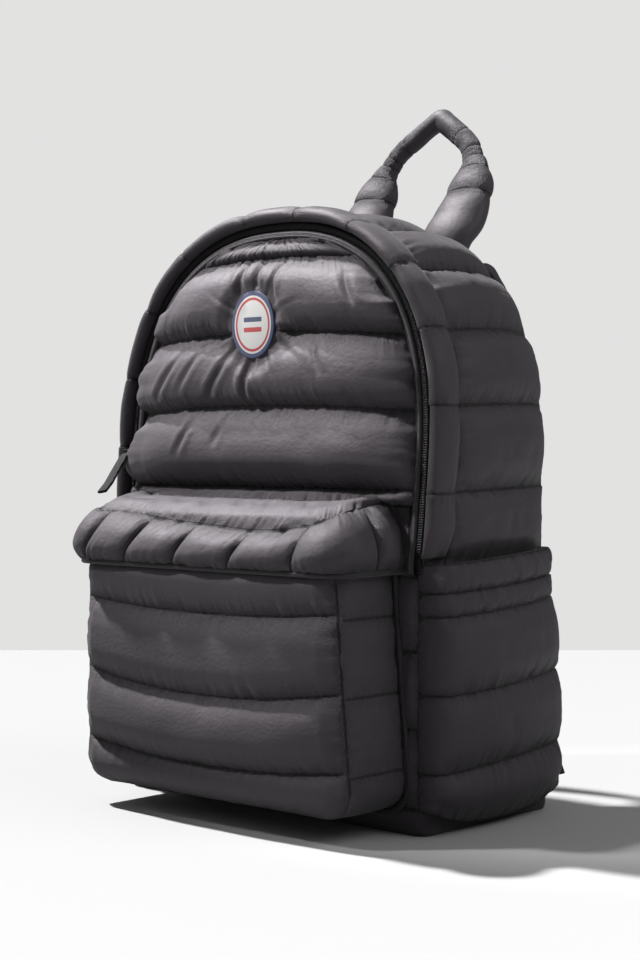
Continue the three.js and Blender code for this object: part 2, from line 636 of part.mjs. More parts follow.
// Flap: the quilted lid of the front pocket, open underneath and at its back
const FLAP_STRIP = 12.5; // of the zip line past the flap, on each side
const FLAP_HALF_WIDTH = ZIP_HALF_WIDTH - FLAP_STRIP;
const FLAP_REACH = 66; // from the front panel to the flap's front
const FLAP_RIDGE_Z = 207;
const FLAP_WALL = 4;
const FLAP_CORNER = 20;
const FLAP_SWELL = 6;
const FLAP_PINCH = 0.3; // share of its swell left at a stitched line
const FLAP_SQUARENESS = 3; // of the puffs between those lines
const FLAP_STITCH = 50; // between the stitched lines down its front
const FLAP_STITCH_SHIFT = -7; // of the middle line, to the left
const FLAP_BACK_Y = PANEL_FRONT_Y - GAP;
const FLAP_FRONT_Y = FLAP_BACK_Y - FLAP_REACH;
const FLAP_SEAM_HALF = FLAP_HALF_WIDTH - FLAP_CORNER / 2; // half length of its seam on the panel
const FLAP_LINES = [-2.5, -1.5, -0.5, 0.5, 1.5, 2.5].map((k) => k * FLAP_STITCH + FLAP_STITCH_SHIFT);

// The flap's lower edge, seen from above: left side, front, right side
function flapEdge(inset, cornerSteps, sideSteps, frontSteps) {
  const half = FLAP_HALF_WIDTH - inset;
  const front = FLAP_FRONT_Y + inset;
  const corner = FLAP_CORNER - inset;
  const side = spread(FLAP_BACK_Y, front + corner, sideSteps).map((y) => new THREE.Vector2(half, y));
  const turn = spread(0, Math.PI / 2, cornerSteps)
    .slice(1)
    .map((a) => {
      const x = half - corner + corner * Math.cos(a);
      return new THREE.Vector2(x, front + corner - corner * Math.sin(a));
    });
  const run = spread(half - corner, 0, frontSteps)
    .slice(1)
    .map((x) => new THREE.Vector2(x, front));
  const right = [...side, ...turn, ...run];
  const left = right.slice(0, -1).map((p) => new THREE.Vector2(-p.x, p.y));
  return [...left, ...right.reverse()];
}
const FLAP_STEPS = [4, 3, 10];
const FLAP_ROWS = [
  // rise: share of its wall's height, over: share of the way back to the seam, full: share of the swell
  { rise: 0, over: 0, full: 0 },
  { rise: 0.25, over: 0, full: 0.8 },
  { rise: 0.65, over: 0, full: 1 },
  { rise: 0.93, over: 0, full: 0.35 },
  { rise: 1, over: 0.12, full: 0 },
  { rise: 1, over: 0.45, full: 0.8 },
  { rise: 1, over: 0.85, full: 0.5 },
  { rise: 1, over: 1, full: 0 },
];
function flapRow({ rise, over, full }, inset) {
  const edge = flapEdge(inset, ...FLAP_STEPS);
  return edge.map((p, i) => {
    const forward = (FLAP_BACK_Y - p.y) / FLAP_REACH;
    const ridge = THREE.MathUtils.lerp(FLAP_SEAM_Z, FLAP_RIDGE_Z, forward) - inset;
    const along = new THREE.Vector2().subVectors(
      edge[Math.min(edge.length - 1, i + 1)],
      edge[Math.max(0, i - 1)],
    );
    const outwards = new THREE.Vector2(along.y, -along.x).normalize();
    const held = Math.min(1, (FLAP_BACK_Y - p.y) / FLAP_CORNER); // flat where it meets the panel
    const between = puff(channelShare(p.x, FLAP_LINES), FLAP_SQUARENESS);
    const stuffed = FLAP_PINCH + (1 - FLAP_PINCH) * between;
    const swell = inset ? 0 : FLAP_SWELL * full * held * stuffed;
    if (!over) {
      const z = THREE.MathUtils.lerp(FLAP_BOTTOM_Z, ridge, rise);
      return new THREE.Vector3(p.x + outwards.x * swell, p.y + outwards.y * swell, z);
    }
    const turn = (i / (edge.length - 1)) * 2 - 1;
    const seam = new THREE.Vector3((FLAP_SEAM_HALF - inset) * turn, FLAP_BACK_Y, FLAP_SEAM_Z - inset);
    return new THREE.Vector3(p.x, p.y, ridge).lerp(seam, over).add(new THREE.Vector3(0, 0, swell));
  });
}
function flap() {
  return wallBetween(
    FLAP_ROWS.map((row) => flapRow(row, 0)),
    FLAP_ROWS.map((row) => flapRow(row, FLAP_WALL)),
  );
}
add("pocket_flap", flap());
add("pocket_piping", pocketPiping(), BINDING, 0.55);

// Flap piping: the corded edge along the bottom of the flap
const FLAP_PIPING_CORNER_STEPS = 5;
const FLAP_PIPING_STEPS = 52;
function flapPiping() {
  const z = FLAP_BOTTOM_Z - GAP - PIPING_RADIUS;
  const edge = flapEdge(FLAP_WALL / 2, FLAP_PIPING_CORNER_STEPS, 1, 1);
  return piping(edge.map((p) => new THREE.Vector3(p.x, p.y, z)), PIPING_RADIUS, FLAP_PIPING_STEPS);
}
add("flap_piping", flapPiping(), BINDING, 0.55);

// Side pockets: a quilted wall on each side, sewn at the front, back and bottom, open at the top
const SIDE_POCKET_WALL = 6;
const SIDE_POCKET_BULGE = 20;
const SIDE_POCKET_PUFF = 4;
const SIDE_POCKET_TUCK = 6; // how far its bottom is drawn in
const SIDE_POCKET_TUCK_SHARE = 0.1; // share of its height over which it is drawn in
const SIDE_POCKET_SKEW = 0.15; // how much fuller its back is than its middle, and its front emptier
const SIDE_POCKET_SQUARENESS = 0.45; // of its bulge from front to back: lower is squarer
const SIDE_POCKET_BOTTOM_Z = 7;
const SIDE_POCKET_INNER_X = BASE_HALF_WIDTH + GUSSET_PUFF_BEHIND_POCKET + GAP;
const SIDE_POCKET_SEAMS = [0, 0.2, 0.5, 0.8, 0.89, 1]; // shares of its height, up to the stuffed hem
const SIDE_POCKET_COLUMNS = 8;
const SIDE_POCKET_FRONT_SETBACK = 1; // of its front seam behind the zip plane
const SIDE_POCKET_BACK_SETBACK = 2; // of its back seam in front of the back seam of the bag
const SIDE_POCKET_FRONT_Y = FRONT_Y + SIDE_POCKET_FRONT_SETBACK;
const SIDE_POCKET_BACK_Y = BACK_Y - SIDE_POCKET_BACK_SETBACK;
// How full it hangs at a share of its height, against its greatest bulge at two thirds of it
const sidePocketFullness = (share) => Math.pow(Math.sin(Math.PI * (0.1 + 0.6 * share)), 1.2);
function sidePocket() {
  const row = (share, wall) =>
    spread(0, 1, SIDE_POCKET_COLUMNS).map((across) => {
      const hump = Math.pow(Math.sin(Math.PI * Math.min(1, across)), SIDE_POCKET_SQUARENESS);
      const skew = 1 + SIDE_POCKET_SKEW * (2 * across - 1);
      const bulge = SIDE_POCKET_BULGE * sidePocketFullness(share) * hump * skew;
      const stuffed = wall && SIDE_POCKET_PUFF * puff(channelShare(share, SIDE_POCKET_SEAMS)) * hump;
      const tuck = Math.max(0, 1 - share / SIDE_POCKET_TUCK_SHARE) * SIDE_POCKET_TUCK;
      const y = THREE.MathUtils.lerp(SIDE_POCKET_FRONT_Y, SIDE_POCKET_BACK_Y, across);
      const z = THREE.MathUtils.lerp(SIDE_POCKET_BOTTOM_Z, POCKET_TOP_Z, share);
      const x = SIDE_POCKET_INNER_X - taperAt(z) * across + Math.max(0, bulge - tuck) + wall + stuffed;
      return new THREE.Vector3(x, y, z);
    });
  const shares = withSteps(SIDE_POCKET_SEAMS);
  return wallBetween(
    shares.map((share) => row(share, SIDE_POCKET_WALL)),
    shares.map((share) => row(share, 0)),
  );
}
add("side_pocket_right", sidePocket());
add("side_pocket_left", mirrored(sidePocket()));

// A stuffed band along a path, with a rounded section at each point. A lower power makes the
// section squarer, and first and last may lay its ends on a surface
const onItself = (p) => p;
function stuffedBand(sections, widthAxis, sides, { power = 1, first = onItself, last = onItself } = {}) {
  const centres = sections.map((s) => s.centre);
  const turns = spread(0, 2 * Math.PI, sides).slice(0, -1);
  const rounded = (value) => Math.sign(value) * Math.pow(Math.abs(value), power);
  const rings = sections.map(({ centre, width, thickness }, i) => {
    const before = centres[Math.max(0, i - 1)];
    const after = centres[Math.min(centres.length - 1, i + 1)];
    const along = new THREE.Vector3().subVectors(after, before).normalize();
    const wide = widthAxis(along, i / (sections.length - 1));
    const normal = new THREE.Vector3().crossVectors(along, wide).normalize();
    return turns.map((a) =>
      centre
        .clone()
        .addScaledVector(wide, (rounded(Math.cos(a)) * width) / 2)
        .addScaledVector(normal, (rounded(Math.sin(a)) * thickness) / 2),
    );
  });
  rings[0] = rings[0].map(first);
  rings[rings.length - 1] = rings[rings.length - 1].map(last);
  return throughRings(
    rings,
    turns.map((a) => new THREE.Vector2(rounded(Math.cos(a)), rounded(Math.sin(a)))),
  );
}

// Handle: a stuffed loop, with two fat legs sewn into the top seam and a thin creased grip
const HANDLE_HALF_SPAN = 45;
const HANDLE_BASE_Z = ARCH_TOP_Z + GUSSET_OFFSET - GUSSET_TAPER;
const HANDLE_HEIGHT = 108; // from the top seam to the middle of the grip's crease
const HANDLE_LEAN = 54; // how far back the crease lies
const HANDLE_LEG_WIDTH = 38;
const HANDLE_LEG_THICKNESS = 22;
const HANDLE_GRIP_WIDTH = 19;
const HANDLE_GRIP_THICKNESS = 15;
const HANDLE_BASE_Y = BACK_Y;
const HANDLE_SECTIONS = [
  // rise, spread and lean: shares of the height, half span and lean. grip: 0 on the leg, 1 on the grip
  { rise: -0.1, spread: 1, lean: 0, full: 0.85, grip: 0 },
  { rise: 0.08, spread: 1, lean: 0.1, full: 1, grip: 0 },
  { rise: 0.2, spread: 1.02, lean: 0.3, full: 1.05, grip: 0 },
  { rise: 0.36, spread: 1.02, lean: 0.5, full: 0.86, grip: 0 },
  { rise: 0.5, spread: 1, lean: 0.64, full: 0.95, grip: 0.15 },
  { rise: 0.62, spread: 0.96, lean: 0.74, full: 1, grip: 0.95 },
  { rise: 0.74, spread: 0.8, lean: 0.83, full: 0.95, grip: 1 },
  { rise: 0.87, spread: 0.45, lean: 0.92, full: 1, grip: 1 },
  { rise: 0.97, spread: 0.1, lean: 0.99, full: 1, grip: 1 },
];
function handle() {
  const half = HANDLE_SECTIONS.map(({ rise, spread: out, lean, full, grip }) => ({
    centre: new THREE.Vector3(
      HANDLE_HALF_SPAN * out,
      HANDLE_BASE_Y + HANDLE_LEAN * lean,
      HANDLE_BASE_Z + HANDLE_HEIGHT * rise,
    ),
    width: full * THREE.MathUtils.lerp(HANDLE_LEG_WIDTH, HANDLE_GRIP_WIDTH, grip),
    thickness: full * THREE.MathUtils.lerp(HANDLE_LEG_THICKNESS, HANDLE_GRIP_THICKNESS, grip),
  }));
  const other = half.map((s) => ({ ...s, centre: s.centre.clone().setX(-s.centre.x) })).reverse();
  const slope = new THREE.Vector3(0, HANDLE_LEAN, HANDLE_HEIGHT).normalize();
  const faceOut = new THREE.Vector3(0, -slope.z, slope.y);
  const wide = (along) => new THREE.Vector3().crossVectors(faceOut, along).normalize();
  const loop = toSolid(stuffedBand([...half, ...other], wide, 12));
  const bag = prismAlongY(backOutline(GAP, BASE_HEIGHT), FRONT_Y, BACK_Y + BODY_DEPTH);
  return toGeometry(loop.subtract(bag).simplify(SIMPLIFY_TOLERANCE));
}
add("carry_handle", handle());

// Shoulder straps: padded, sewn to the back beside the middle, arching out and down
const STRAP_WIDTH = 58;
const STRAP_THICKNESS = 12;
const STRAP_TOP_Z = 368;
const STRAP_BOTTOM_Z = 158;
const STRAP_TOP_X = 36;
const STRAP_SPREAD = 56; // from its top end to its bottom end, outwards
const STRAP_REACH = 40; // how far it arches out behind the back
const BACK_FACE_Y = BACK_Y + BACK_BULGE;
const STRAP_SEAT_Y = BACK_FACE_Y + GAP + STRAP_THICKNESS / 2;
const STRAP_SECTIONS = [
  // drop: share of the way down, out: share of the spread, reach: share of the arch behind the back
  { drop: 0, out: 0, reach: 0, full: 0.6 },
  { drop: -0.07, out: 0.02, reach: 0.35, full: 0.9 },
  { drop: -0.09, out: 0.06, reach: 0.7, full: 1 },
  { drop: -0.02, out: 0.14, reach: 0.93, full: 1 },
  { drop: 0.12, out: 0.3, reach: 1, full: 1 },
  { drop: 0.4, out: 0.62, reach: 0.92, full: 1 },
  { drop: 0.7, out: 0.88, reach: 0.62, full: 1 },
  { drop: 0.93, out: 0.99, reach: 0.36, full: 0.85 },
  { drop: 1, out: 1, reach: 0.3, full: 0.55 },
];
const strapCentre = ({ drop, out, reach }) =>
  new THREE.Vector3(
    STRAP_TOP_X + STRAP_SPREAD * out,
    STRAP_SEAT_Y + STRAP_REACH * reach,
    THREE.MathUtils.lerp(STRAP_TOP_Z, STRAP_BOTTOM_Z, drop),
  );
const strapWide = (along) => new THREE.Vector3(1, 0, 0).addScaledVector(along, -along.x).normalize();
function shoulderStrap() {
  const sections = STRAP_SECTIONS.map((section) => ({
    centre: strapCentre(section),
    width: STRAP_WIDTH * Math.sqrt(section.full),
    thickness: STRAP_THICKNESS * section.full,
  }));
  const onBack = (p) => new THREE.Vector3(p.x, BACK_FACE_Y + GAP, p.z - (p.y - STRAP_SEAT_Y) / 2);
  return stuffedBand(sections, strapWide, 10, { power: 0.6, first: onBack });
}
add("shoulder_strap_right", shoulderStrap());
add("shoulder_strap_left", mirrored(shoulderStrap()));

// Strap tab: the fabric end that the lower webbing is sewn into, flat on the back at its bottom corner
const WEBBING_WIDTH = 24;
const WEBBING_THICKNESS = 2.2;
const TAB_THICKNESS = 4;
const TAB_OVERHANG = 7; // of its outer corner past the body's side
const TAB_SEAM_X = BASE_HALF_WIDTH + TAB_OVERHANG;
const TAB_SEAM_Z = 24;
const TAB_LENGTH = 40; // from its outer corner to the webbing, up and inwards
const TAB_FOOT = 30; // length of its lower seam
const TAB_FOOT_DROP = 8; // how far that seam slopes down, inwards
const TAB_FRONT_Y = BACK_FACE_Y + GAP;
const [STRAP_LAST, STRAP_END] = STRAP_SECTIONS.slice(-2).map(strapCentre);
const TAB_CORNER = new THREE.Vector2(TAB_SEAM_X, TAB_SEAM_Z);
const TAB_WAY = new THREE.Vector2(STRAP_END.x, STRAP_END.z).sub(TAB_CORNER).normalize();
const TAB_ACROSS = new THREE.Vector2(TAB_WAY.y, -TAB_WAY.x); // to the right of its way
const TAB_END = TAB_CORNER.clone()
  .addScaledVector(TAB_WAY, TAB_LENGTH)
  .addScaledVector(TAB_ACROSS, -WEBBING_WIDTH / 2);
function strapTab() {
  const outline = [
    TAB_CORNER,
    TAB_END.clone().addScaledVector(TAB_ACROSS, WEBBING_WIDTH / 2),
    TAB_END.clone().addScaledVector(TAB_ACROSS, -WEBBING_WIDTH / 2),
    TAB_CORNER.clone().add(new THREE.Vector2(-TAB_FOOT, -TAB_FOOT_DROP)),
  ];
  return toGeometry(prismAlongY(outline, TAB_FRONT_Y, TAB_FRONT_Y + TAB_THICKNESS));
}
add("strap_tab_right", strapTab());
add("strap_tab_left", mirrored(strapTab()));

// Strap buckle: the plate at the end of the padded strap that the webbing runs to
const BUCKLE_LENGTH = 26;
const BUCKLE_WIDTH = 33;
const BUCKLE_THICKNESS = 5;
const STRAP_END_WAY = new THREE.Vector3().subVectors(STRAP_END, STRAP_LAST).normalize();
const beyondStrap = (distance) => STRAP_END.clone().addScaledVector(STRAP_END_WAY, distance);
function buckle() {
  const sections = [GAP, GAP + BUCKLE_LENGTH].map((distance) => ({
    centre: beyondStrap(distance),
    width: BUCKLE_WIDTH,
    thickness: BUCKLE_THICKNESS,
  }));
  return stuffedBand(sections, strapWide, 12, { power: 0.4 });
}
add("strap_buckle_right", buckle(), BUCKLE_PLASTIC, 0.5);
add("strap_buckle_left", mirrored(buckle()), BUCKLE_PLASTIC, 0.5);

// Strap webbing: from the buckle down to the tab
const WEBBING_STEPS = 8;
const WEBBING_STRAIGHT = 12; // its straight run at each end
function webbing() {
  const top = GAP + BUCKLE_LENGTH + GAP;
  const y = TAB_FRONT_Y + TAB_THICKNESS / 2;
  const [end, before] = [GAP, WEBBING_STRAIGHT].map((distance) => {
    const p = TAB_END.clone().addScaledVector(TAB_WAY, distance);
    return new THREE.Vector3(p.x, y, p.y);
  });
  const points = [beyondStrap(top), beyondStrap(top + WEBBING_STRAIGHT), before, end];
  const curve = new THREE.CatmullRomCurve3(points, false, "centripetal");
  const sections = curve.getSpacedPoints(WEBBING_STEPS).map((centre) => ({
    centre,
    width: WEBBING_WIDTH,
    thickness: WEBBING_THICKNESS,
  }));
  const tabWay = new THREE.Vector3(-TAB_WAY.x, 0, -TAB_WAY.y);
  const onBuckle = (p) => p.addScaledVector(STRAP_END_WAY, beyondStrap(top).sub(p).dot(STRAP_END_WAY));
  const onTab = (p) => p.addScaledVector(tabWay, end.clone().sub(p).dot(tabWay));
  return stuffedBand(sections, strapWide, 8, { power: 0.4, first: onBuckle, last: onTab });
}
add("strap_webbing_right", webbing(), WEBBING, 0.8);
add("strap_webbing_left", mirrored(webbing()), WEBBING, 0.8);

// Zip slider: parked low on the left
const SLIDER_WIDTH = 9;
const SLIDER_LENGTH = 14;
const SLIDER_DEPTH = 6;
const SLIDER_Z = 243;
const SLIDER_BACK_Y = COIL_FRONT_Y - GAP;
const SLIDER_FRONT_Y = SLIDER_BACK_Y - SLIDER_DEPTH;
const SLIDER_X = archPoint(-sAtHeight(SLIDER_Z), 0).x + GAP;
const SLIDER_OUTLINE = [
  // shares of its half width and half length
  [-0.6, -1],
  [0.6, -1],
  [1, 0.3],
  [0.85, 1],
  [-0.85, 1],
  [-1, 0.3],
];
function slider() {
  const outline = SLIDER_OUTLINE.map(
    ([x, z]) => new THREE.Vector2(SLIDER_X + (x * SLIDER_WIDTH) / 2, SLIDER_Z + (z * SLIDER_LENGTH) / 2),
  );
  return toGeometry(prismAlongY(outline, SLIDER_FRONT_Y, SLIDER_BACK_Y));
}
add("zip_slider", slider(), LACQUER, 0.4);

// Zip pull: a webbing tongue that lies forwards and down over the flap's left end
const PULL_WIDTH = 8;
const PULL_THICKNESS = 2.4;
const PULL_SECTIONS = [
  // shares of its reach to the right, forwards and down
  { right: 0, forwards: 0, down: 0 },
  { right: 0.05, forwards: 0.1, down: 0.1 },
  { right: 0.3, forwards: 0.38, down: 0.42 },
  { right: 0.7, forwards: 0.72, down: 0.78 },
  { right: 1, forwards: 1, down: 1 },
];
const PULL_REACH = { right: 11, forwards: 33, down: 27 };
function pull() {
  const sections = PULL_SECTIONS.map(({ right, forwards, down }) => ({
    centre: new THREE.Vector3(
      SLIDER_X + PULL_REACH.right * right,
      SLIDER_FRONT_Y - GAP - PULL_REACH.forwards * forwards,
      SLIDER_Z + SLIDER_LENGTH / 4 - PULL_REACH.down * down,
    ),
    width: PULL_WIDTH,
    thickness: PULL_THICKNESS,
  }));
  const onSlider = (p) => new THREE.Vector3(p.x, SLIDER_FRONT_Y - GAP, p.z);
  return stuffedBand(sections, strapWide, 8, { power: 0.4, first: onSlider });
}
add("zip_pull", pull(), WEBBING, 0.8);

export default backpack;
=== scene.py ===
"""A quilted puffer backpack, dressed around its CAD frame. Metres, in the frame of the CAD part."""

import bpy
import numpy as np
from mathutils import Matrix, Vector


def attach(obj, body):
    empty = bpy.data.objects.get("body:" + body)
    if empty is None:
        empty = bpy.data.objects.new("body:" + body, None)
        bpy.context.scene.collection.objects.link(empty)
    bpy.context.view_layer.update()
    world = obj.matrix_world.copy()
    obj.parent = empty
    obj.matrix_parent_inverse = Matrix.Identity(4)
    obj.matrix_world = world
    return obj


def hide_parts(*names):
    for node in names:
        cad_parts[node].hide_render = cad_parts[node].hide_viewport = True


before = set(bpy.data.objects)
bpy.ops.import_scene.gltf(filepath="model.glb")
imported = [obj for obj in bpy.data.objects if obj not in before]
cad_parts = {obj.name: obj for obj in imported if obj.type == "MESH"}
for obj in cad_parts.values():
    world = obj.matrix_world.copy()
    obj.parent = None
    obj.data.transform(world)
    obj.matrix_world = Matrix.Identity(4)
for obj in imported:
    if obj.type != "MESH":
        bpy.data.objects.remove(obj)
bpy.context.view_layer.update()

# Camera. It stands to the right of the bag and a little above its middle, at a long focal length.
camera_data = bpy.data.cameras.new("camera")
camera_data.sensor_width = 36
camera_data.lens = 70.43
camera_data.clip_start = 0.05
camera = bpy.data.objects.new("camera", camera_data)
bpy.context.scene.collection.objects.link(camera)
camera.location = Vector((0.9009, -1.0060, 0.2544))
camera_aim = Vector((0.0280, -0.0446, 0.2290))
camera.rotation_euler = (camera_aim - camera.location).to_track_quat("-Z", "Y").to_euler()
bpy.context.scene.camera = camera

# Stage. A pale floor and a pale wall behind it, a sun from the upper left, a wide soft light in
# front and another at the side, and a beam on the upper half of the bag.
FLOOR_COLOUR = (0.485, 0.485, 0.488, 1)
FLOOR_BOUNCE_COLOUR = (0.24, 0.24, 0.24, 1)  # it lights the bag as a smaller floor would
FLOOR_MIDDLE, FLOOR_SIZE = (0, -2, -0.05), (6, 4, 0.1)
FLOOR_TURN = (0.740, 0.672)  # its far edge lies straight across the camera's view
FLOOR_MOVE = (-0.65, 0.70)
WALL_COLOUR = (0.76, 0.76, 0.755, 1)
FILL_COLOUR, FILL_STRENGTH = (0.96, 0.96, 0.98, 1), 0.145


def shown_and_thrown(tree, thrown, shown, output):
    """One shader where the camera looks straight at it, and another in what it lights."""
    chosen = tree.nodes.new("ShaderNodeMixShader")
    camera_ray = tree.nodes.new("ShaderNodeLightPath").outputs["Is Camera Ray"]
    tree.links.new(camera_ray, chosen.inputs[0])
    tree.links.new(thrown.outputs[0], chosen.inputs[1])
    tree.links.new(shown.outputs[0], chosen.inputs[2])
    tree.links.new(chosen.outputs[0], tree.nodes[output].inputs["Surface"])


bpy.ops.object.select_all(action="DESELECT")
bpy.ops.mesh.primitive_cube_add(size=1, location=FLOOR_MIDDLE)
floor = bpy.context.object
floor.name = "stage_floor"
floor.scale = FLOOR_SIZE
bpy.ops.object.transform_apply(location=True, scale=True)
for corner in floor.data.vertices:
    across, along, height = corner.co
    corner.co = (
        FLOOR_MOVE[0] + FLOOR_TURN[0] * across - FLOOR_TURN[1] * along,
        FLOOR_MOVE[1] + FLOOR_TURN[1] * across + FLOOR_TURN[0] * along,
        height,
    )
floor_paint = bpy.data.materials.new("stage_white")
floor_paint.use_nodes = True
floor_tree = floor_paint.node_tree
floor_shown = floor_tree.nodes["Principled BSDF"]
floor_shown.inputs["Base Color"].default_value = FLOOR_COLOUR
floor_shown.inputs["Roughness"].default_value = 0.8
floor_thrown = floor_tree.nodes.new("ShaderNodeBsdfDiffuse")
floor_thrown.inputs["Color"].default_value = FLOOR_BOUNCE_COLOUR
shown_and_thrown(floor_tree, floor_thrown, floor_shown, "Material Output")
floor.data.materials.append(floor_paint)

world = bpy.data.worlds.new("world")
world.use_nodes = True
sky = world.node_tree
fill_light = sky.nodes["Background"]
fill_light.inputs["Color"].default_value = FILL_COLOUR
fill_light.inputs["Strength"].default_value = FILL_STRENGTH
wall = sky.nodes.new("ShaderNodeBackground")
wall.inputs["Color"].default_value = WALL_COLOUR
shown_and_thrown(sky, fill_light, wall, "World Output")
bpy.context.scene.world = world
bpy.context.scene.view_settings.view_transform = "Standard"


def add_light(name, kind, energy, towards, place=(0, 0, 1), **settings):
    data = bpy.data.lights.new(name, kind)
    data.energy = energy
    for key, value in settings.items():
        setattr(data, key, value)
    light = bpy.data.objects.new(name, data)
    light.location = place
    light.rotation_euler = Vector(towards).to_track_quat("-Z", "Y").to_euler()
    bpy.context.scene.collection.objects.link(light)


add_light("sun", "SUN", 6.2, (0.64, 0.07, -1.0), angle=0.05)
add_light("front_window", "AREA", 2.0, (0.62, 0.55, -0.55), place=(-1.1, -1.1, 1.25), size=1.2)
add_light("side_window", "AREA", 8.0, (-0.8, -0.1, -0.75), place=(1.3, 0.25, 1.4), size=1.2)
add_light(
    "upper_beam", "SPOT", 195, (0.47, 0.47, -0.75), place=(-0.866, -0.936, 1.680),
    spot_size=0.185, spot_blend=0.45, shadow_soft_size=0.10,
)

# Gusset. The padded wall over the top and down both sides, of satin nylon over wadding, nearly
# black. It is quilted across every 48.5 mm, and sewn to the zip in front and the back behind.
ZIP_HALF_WIDTH = 0.138
ARCH_SPRING_Z, ARCH_TOP_Z = 0.247, 0.402
ARCH_ROUNDNESS = 2.4
ARCH_LEAN = 0.014  # how far the soft front sags to the right at its top
SIDE_POCKET_TOP_Z = 0.180
BASE_TOP_Z = 0.0183
arch_angle = np.linspace(np.pi / 2, 0, 801)
ARCH_X = ZIP_HALF_WIDTH * np.clip(np.cos(arch_angle), 0, 1) ** (2 / ARCH_ROUNDNESS)
ARCH_Z = ARCH_SPRING_Z + (ARCH_TOP_Z - ARCH_SPRING_Z) * np.sin(arch_angle) ** (2 / ARCH_ROUNDNESS)
ARCH_S = np.concatenate([[0], np.cumsum(np.hypot(np.diff(ARCH_X), np.diff(ARCH_Z)))])
ARCH_QUARTER = ARCH_S[-1]


def ramp(value, start, width):
    """0 at the start and 1 a width further on, straight between. A negative width runs down."""
    return np.clip((value - start) / width, 0, 1)


def lean_at(z):
    return ARCH_LEAN * ramp(z, SIDE_POCKET_TOP_Z, ARCH_TOP_Z - SIDE_POCKET_TOP_Z) ** 0.7


def arch_at(s, offset, leaning=1.0):
    """The point of the zip line at s from its top, moved outwards by offset."""
    run = np.abs(s)
    on_leg = ARCH_SPRING_Z - (run - ARCH_QUARTER)
    x = np.where(run < ARCH_QUARTER, np.interp(run, ARCH_S, ARCH_X), ZIP_HALF_WIDTH)
    z = np.where(run < ARCH_QUARTER, np.interp(run, ARCH_S, ARCH_Z), on_leg)
    near = 0.004
    low, high = np.clip(run - near, 0, None), run + near
    tx = np.interp(high, ARCH_S, ARCH_X) - np.interp(low, ARCH_S, ARCH_X)
    beyond = np.clip(high - ARCH_QUARTER, 0, 2 * near)
    tz = np.interp(high, ARCH_S, ARCH_Z) - beyond - np.interp(low, ARCH_S, ARCH_Z)
    tz = np.where(low > ARCH_QUARTER, -2 * near, tz)
    length = np.hypot(tx, tz) + 1e-12
    flat = run < 1e-9
    nx, nz = np.where(flat, 0, -tz / length), np.where(flat, 1, tx / length)
    x, z = x + nx * offset, z + nz * offset
    return np.where(s < 0, -x, x) + lean_at(z) * leaning, z


def s_at(z):
    return ARCH_QUARTER + ARCH_SPRING_Z - z


def new_material(name):
    material = bpy.data.materials.new(name)
    material.use_nodes = True
    tree = material.node_tree
    return material, tree, tree.nodes["Principled BSDF"].inputs


def new_group(name, vectors, numbers, results):
    """A group of shader nodes, and the sockets of what it is given and what it puts out."""
    group = bpy.data.node_groups.new(name, "ShaderNodeTree")
    for label in vectors:
        group.interface.new_socket(label, in_out="INPUT", socket_type="NodeSocketVector")
    for label, value in numbers.items():
        socket = group.interface.new_socket(label, in_out="INPUT", socket_type="NodeSocketFloat")
        socket.default_value = value
    for label in results:
        group.interface.new_socket(label, in_out="OUTPUT", socket_type="NodeSocketFloat")
    given, result = group.nodes.new("NodeGroupInput"), group.nodes.new("NodeGroupOutput")
    return group, given.outputs, result.inputs


def add_node(tree, kind, settings=(), **inputs):
    """A node with its settings and inputs. An input called i3 is the fourth one."""
    node = tree.nodes.new(kind)
    for key, value in dict(settings).items():
        setattr(node, key, value)
    for key, value in inputs.items():
        socket = node.inputs[int(key[1:]) if key[0] == "i" and key[1:].isdigit() else key]
        if isinstance(value, bpy.types.NodeSocket):
            tree.links.new(value, socket)
        else:
            socket.default_value = value
    return node


def maths(tree, operation, *values, clamp=False):
    settings = {"operation": operation, "use_clamp": clamp}
    sockets = {f"i{i}": value for i, value in enumerate(values)}
    return add_node(tree, "ShaderNodeMath", settings, **sockets).outputs[0]


def noise(tree, vector, detail, scale=5.0):
    return add_node(tree, "ShaderNodeTexNoise", Vector=vector, Scale=scale, Detail=detail).outputs[0]


def waves(tree, vector, direction, scale, distortion=0.0):
    settings = {"bands_direction": direction}
    wave = add_node(
        tree, "ShaderNodeTexWave", settings, Vector=vector, Scale=scale, Distortion=distortion
    )
    return wave.outputs[1]


def mixed(tree, share, first, second):
    mix = add_node(tree, "ShaderNodeMix", {"data_type": "RGBA"}, Factor=share, i6=first, i7=second)
    return mix.outputs[2]


def wired(tree, shader, colour, roughness, height, strength, depth):
    """The shader takes its colour and roughness, and relief of a strength and a depth."""
    bump = add_node(tree, "ShaderNodeBump", Height=height, Strength=strength, Distance=depth)
    tree.links.new(colour, shader["Base Color"])
    tree.links.new(roughness, shader["Roughness"])
    tree.links.new(bump.outputs[0], shader["Normal"])


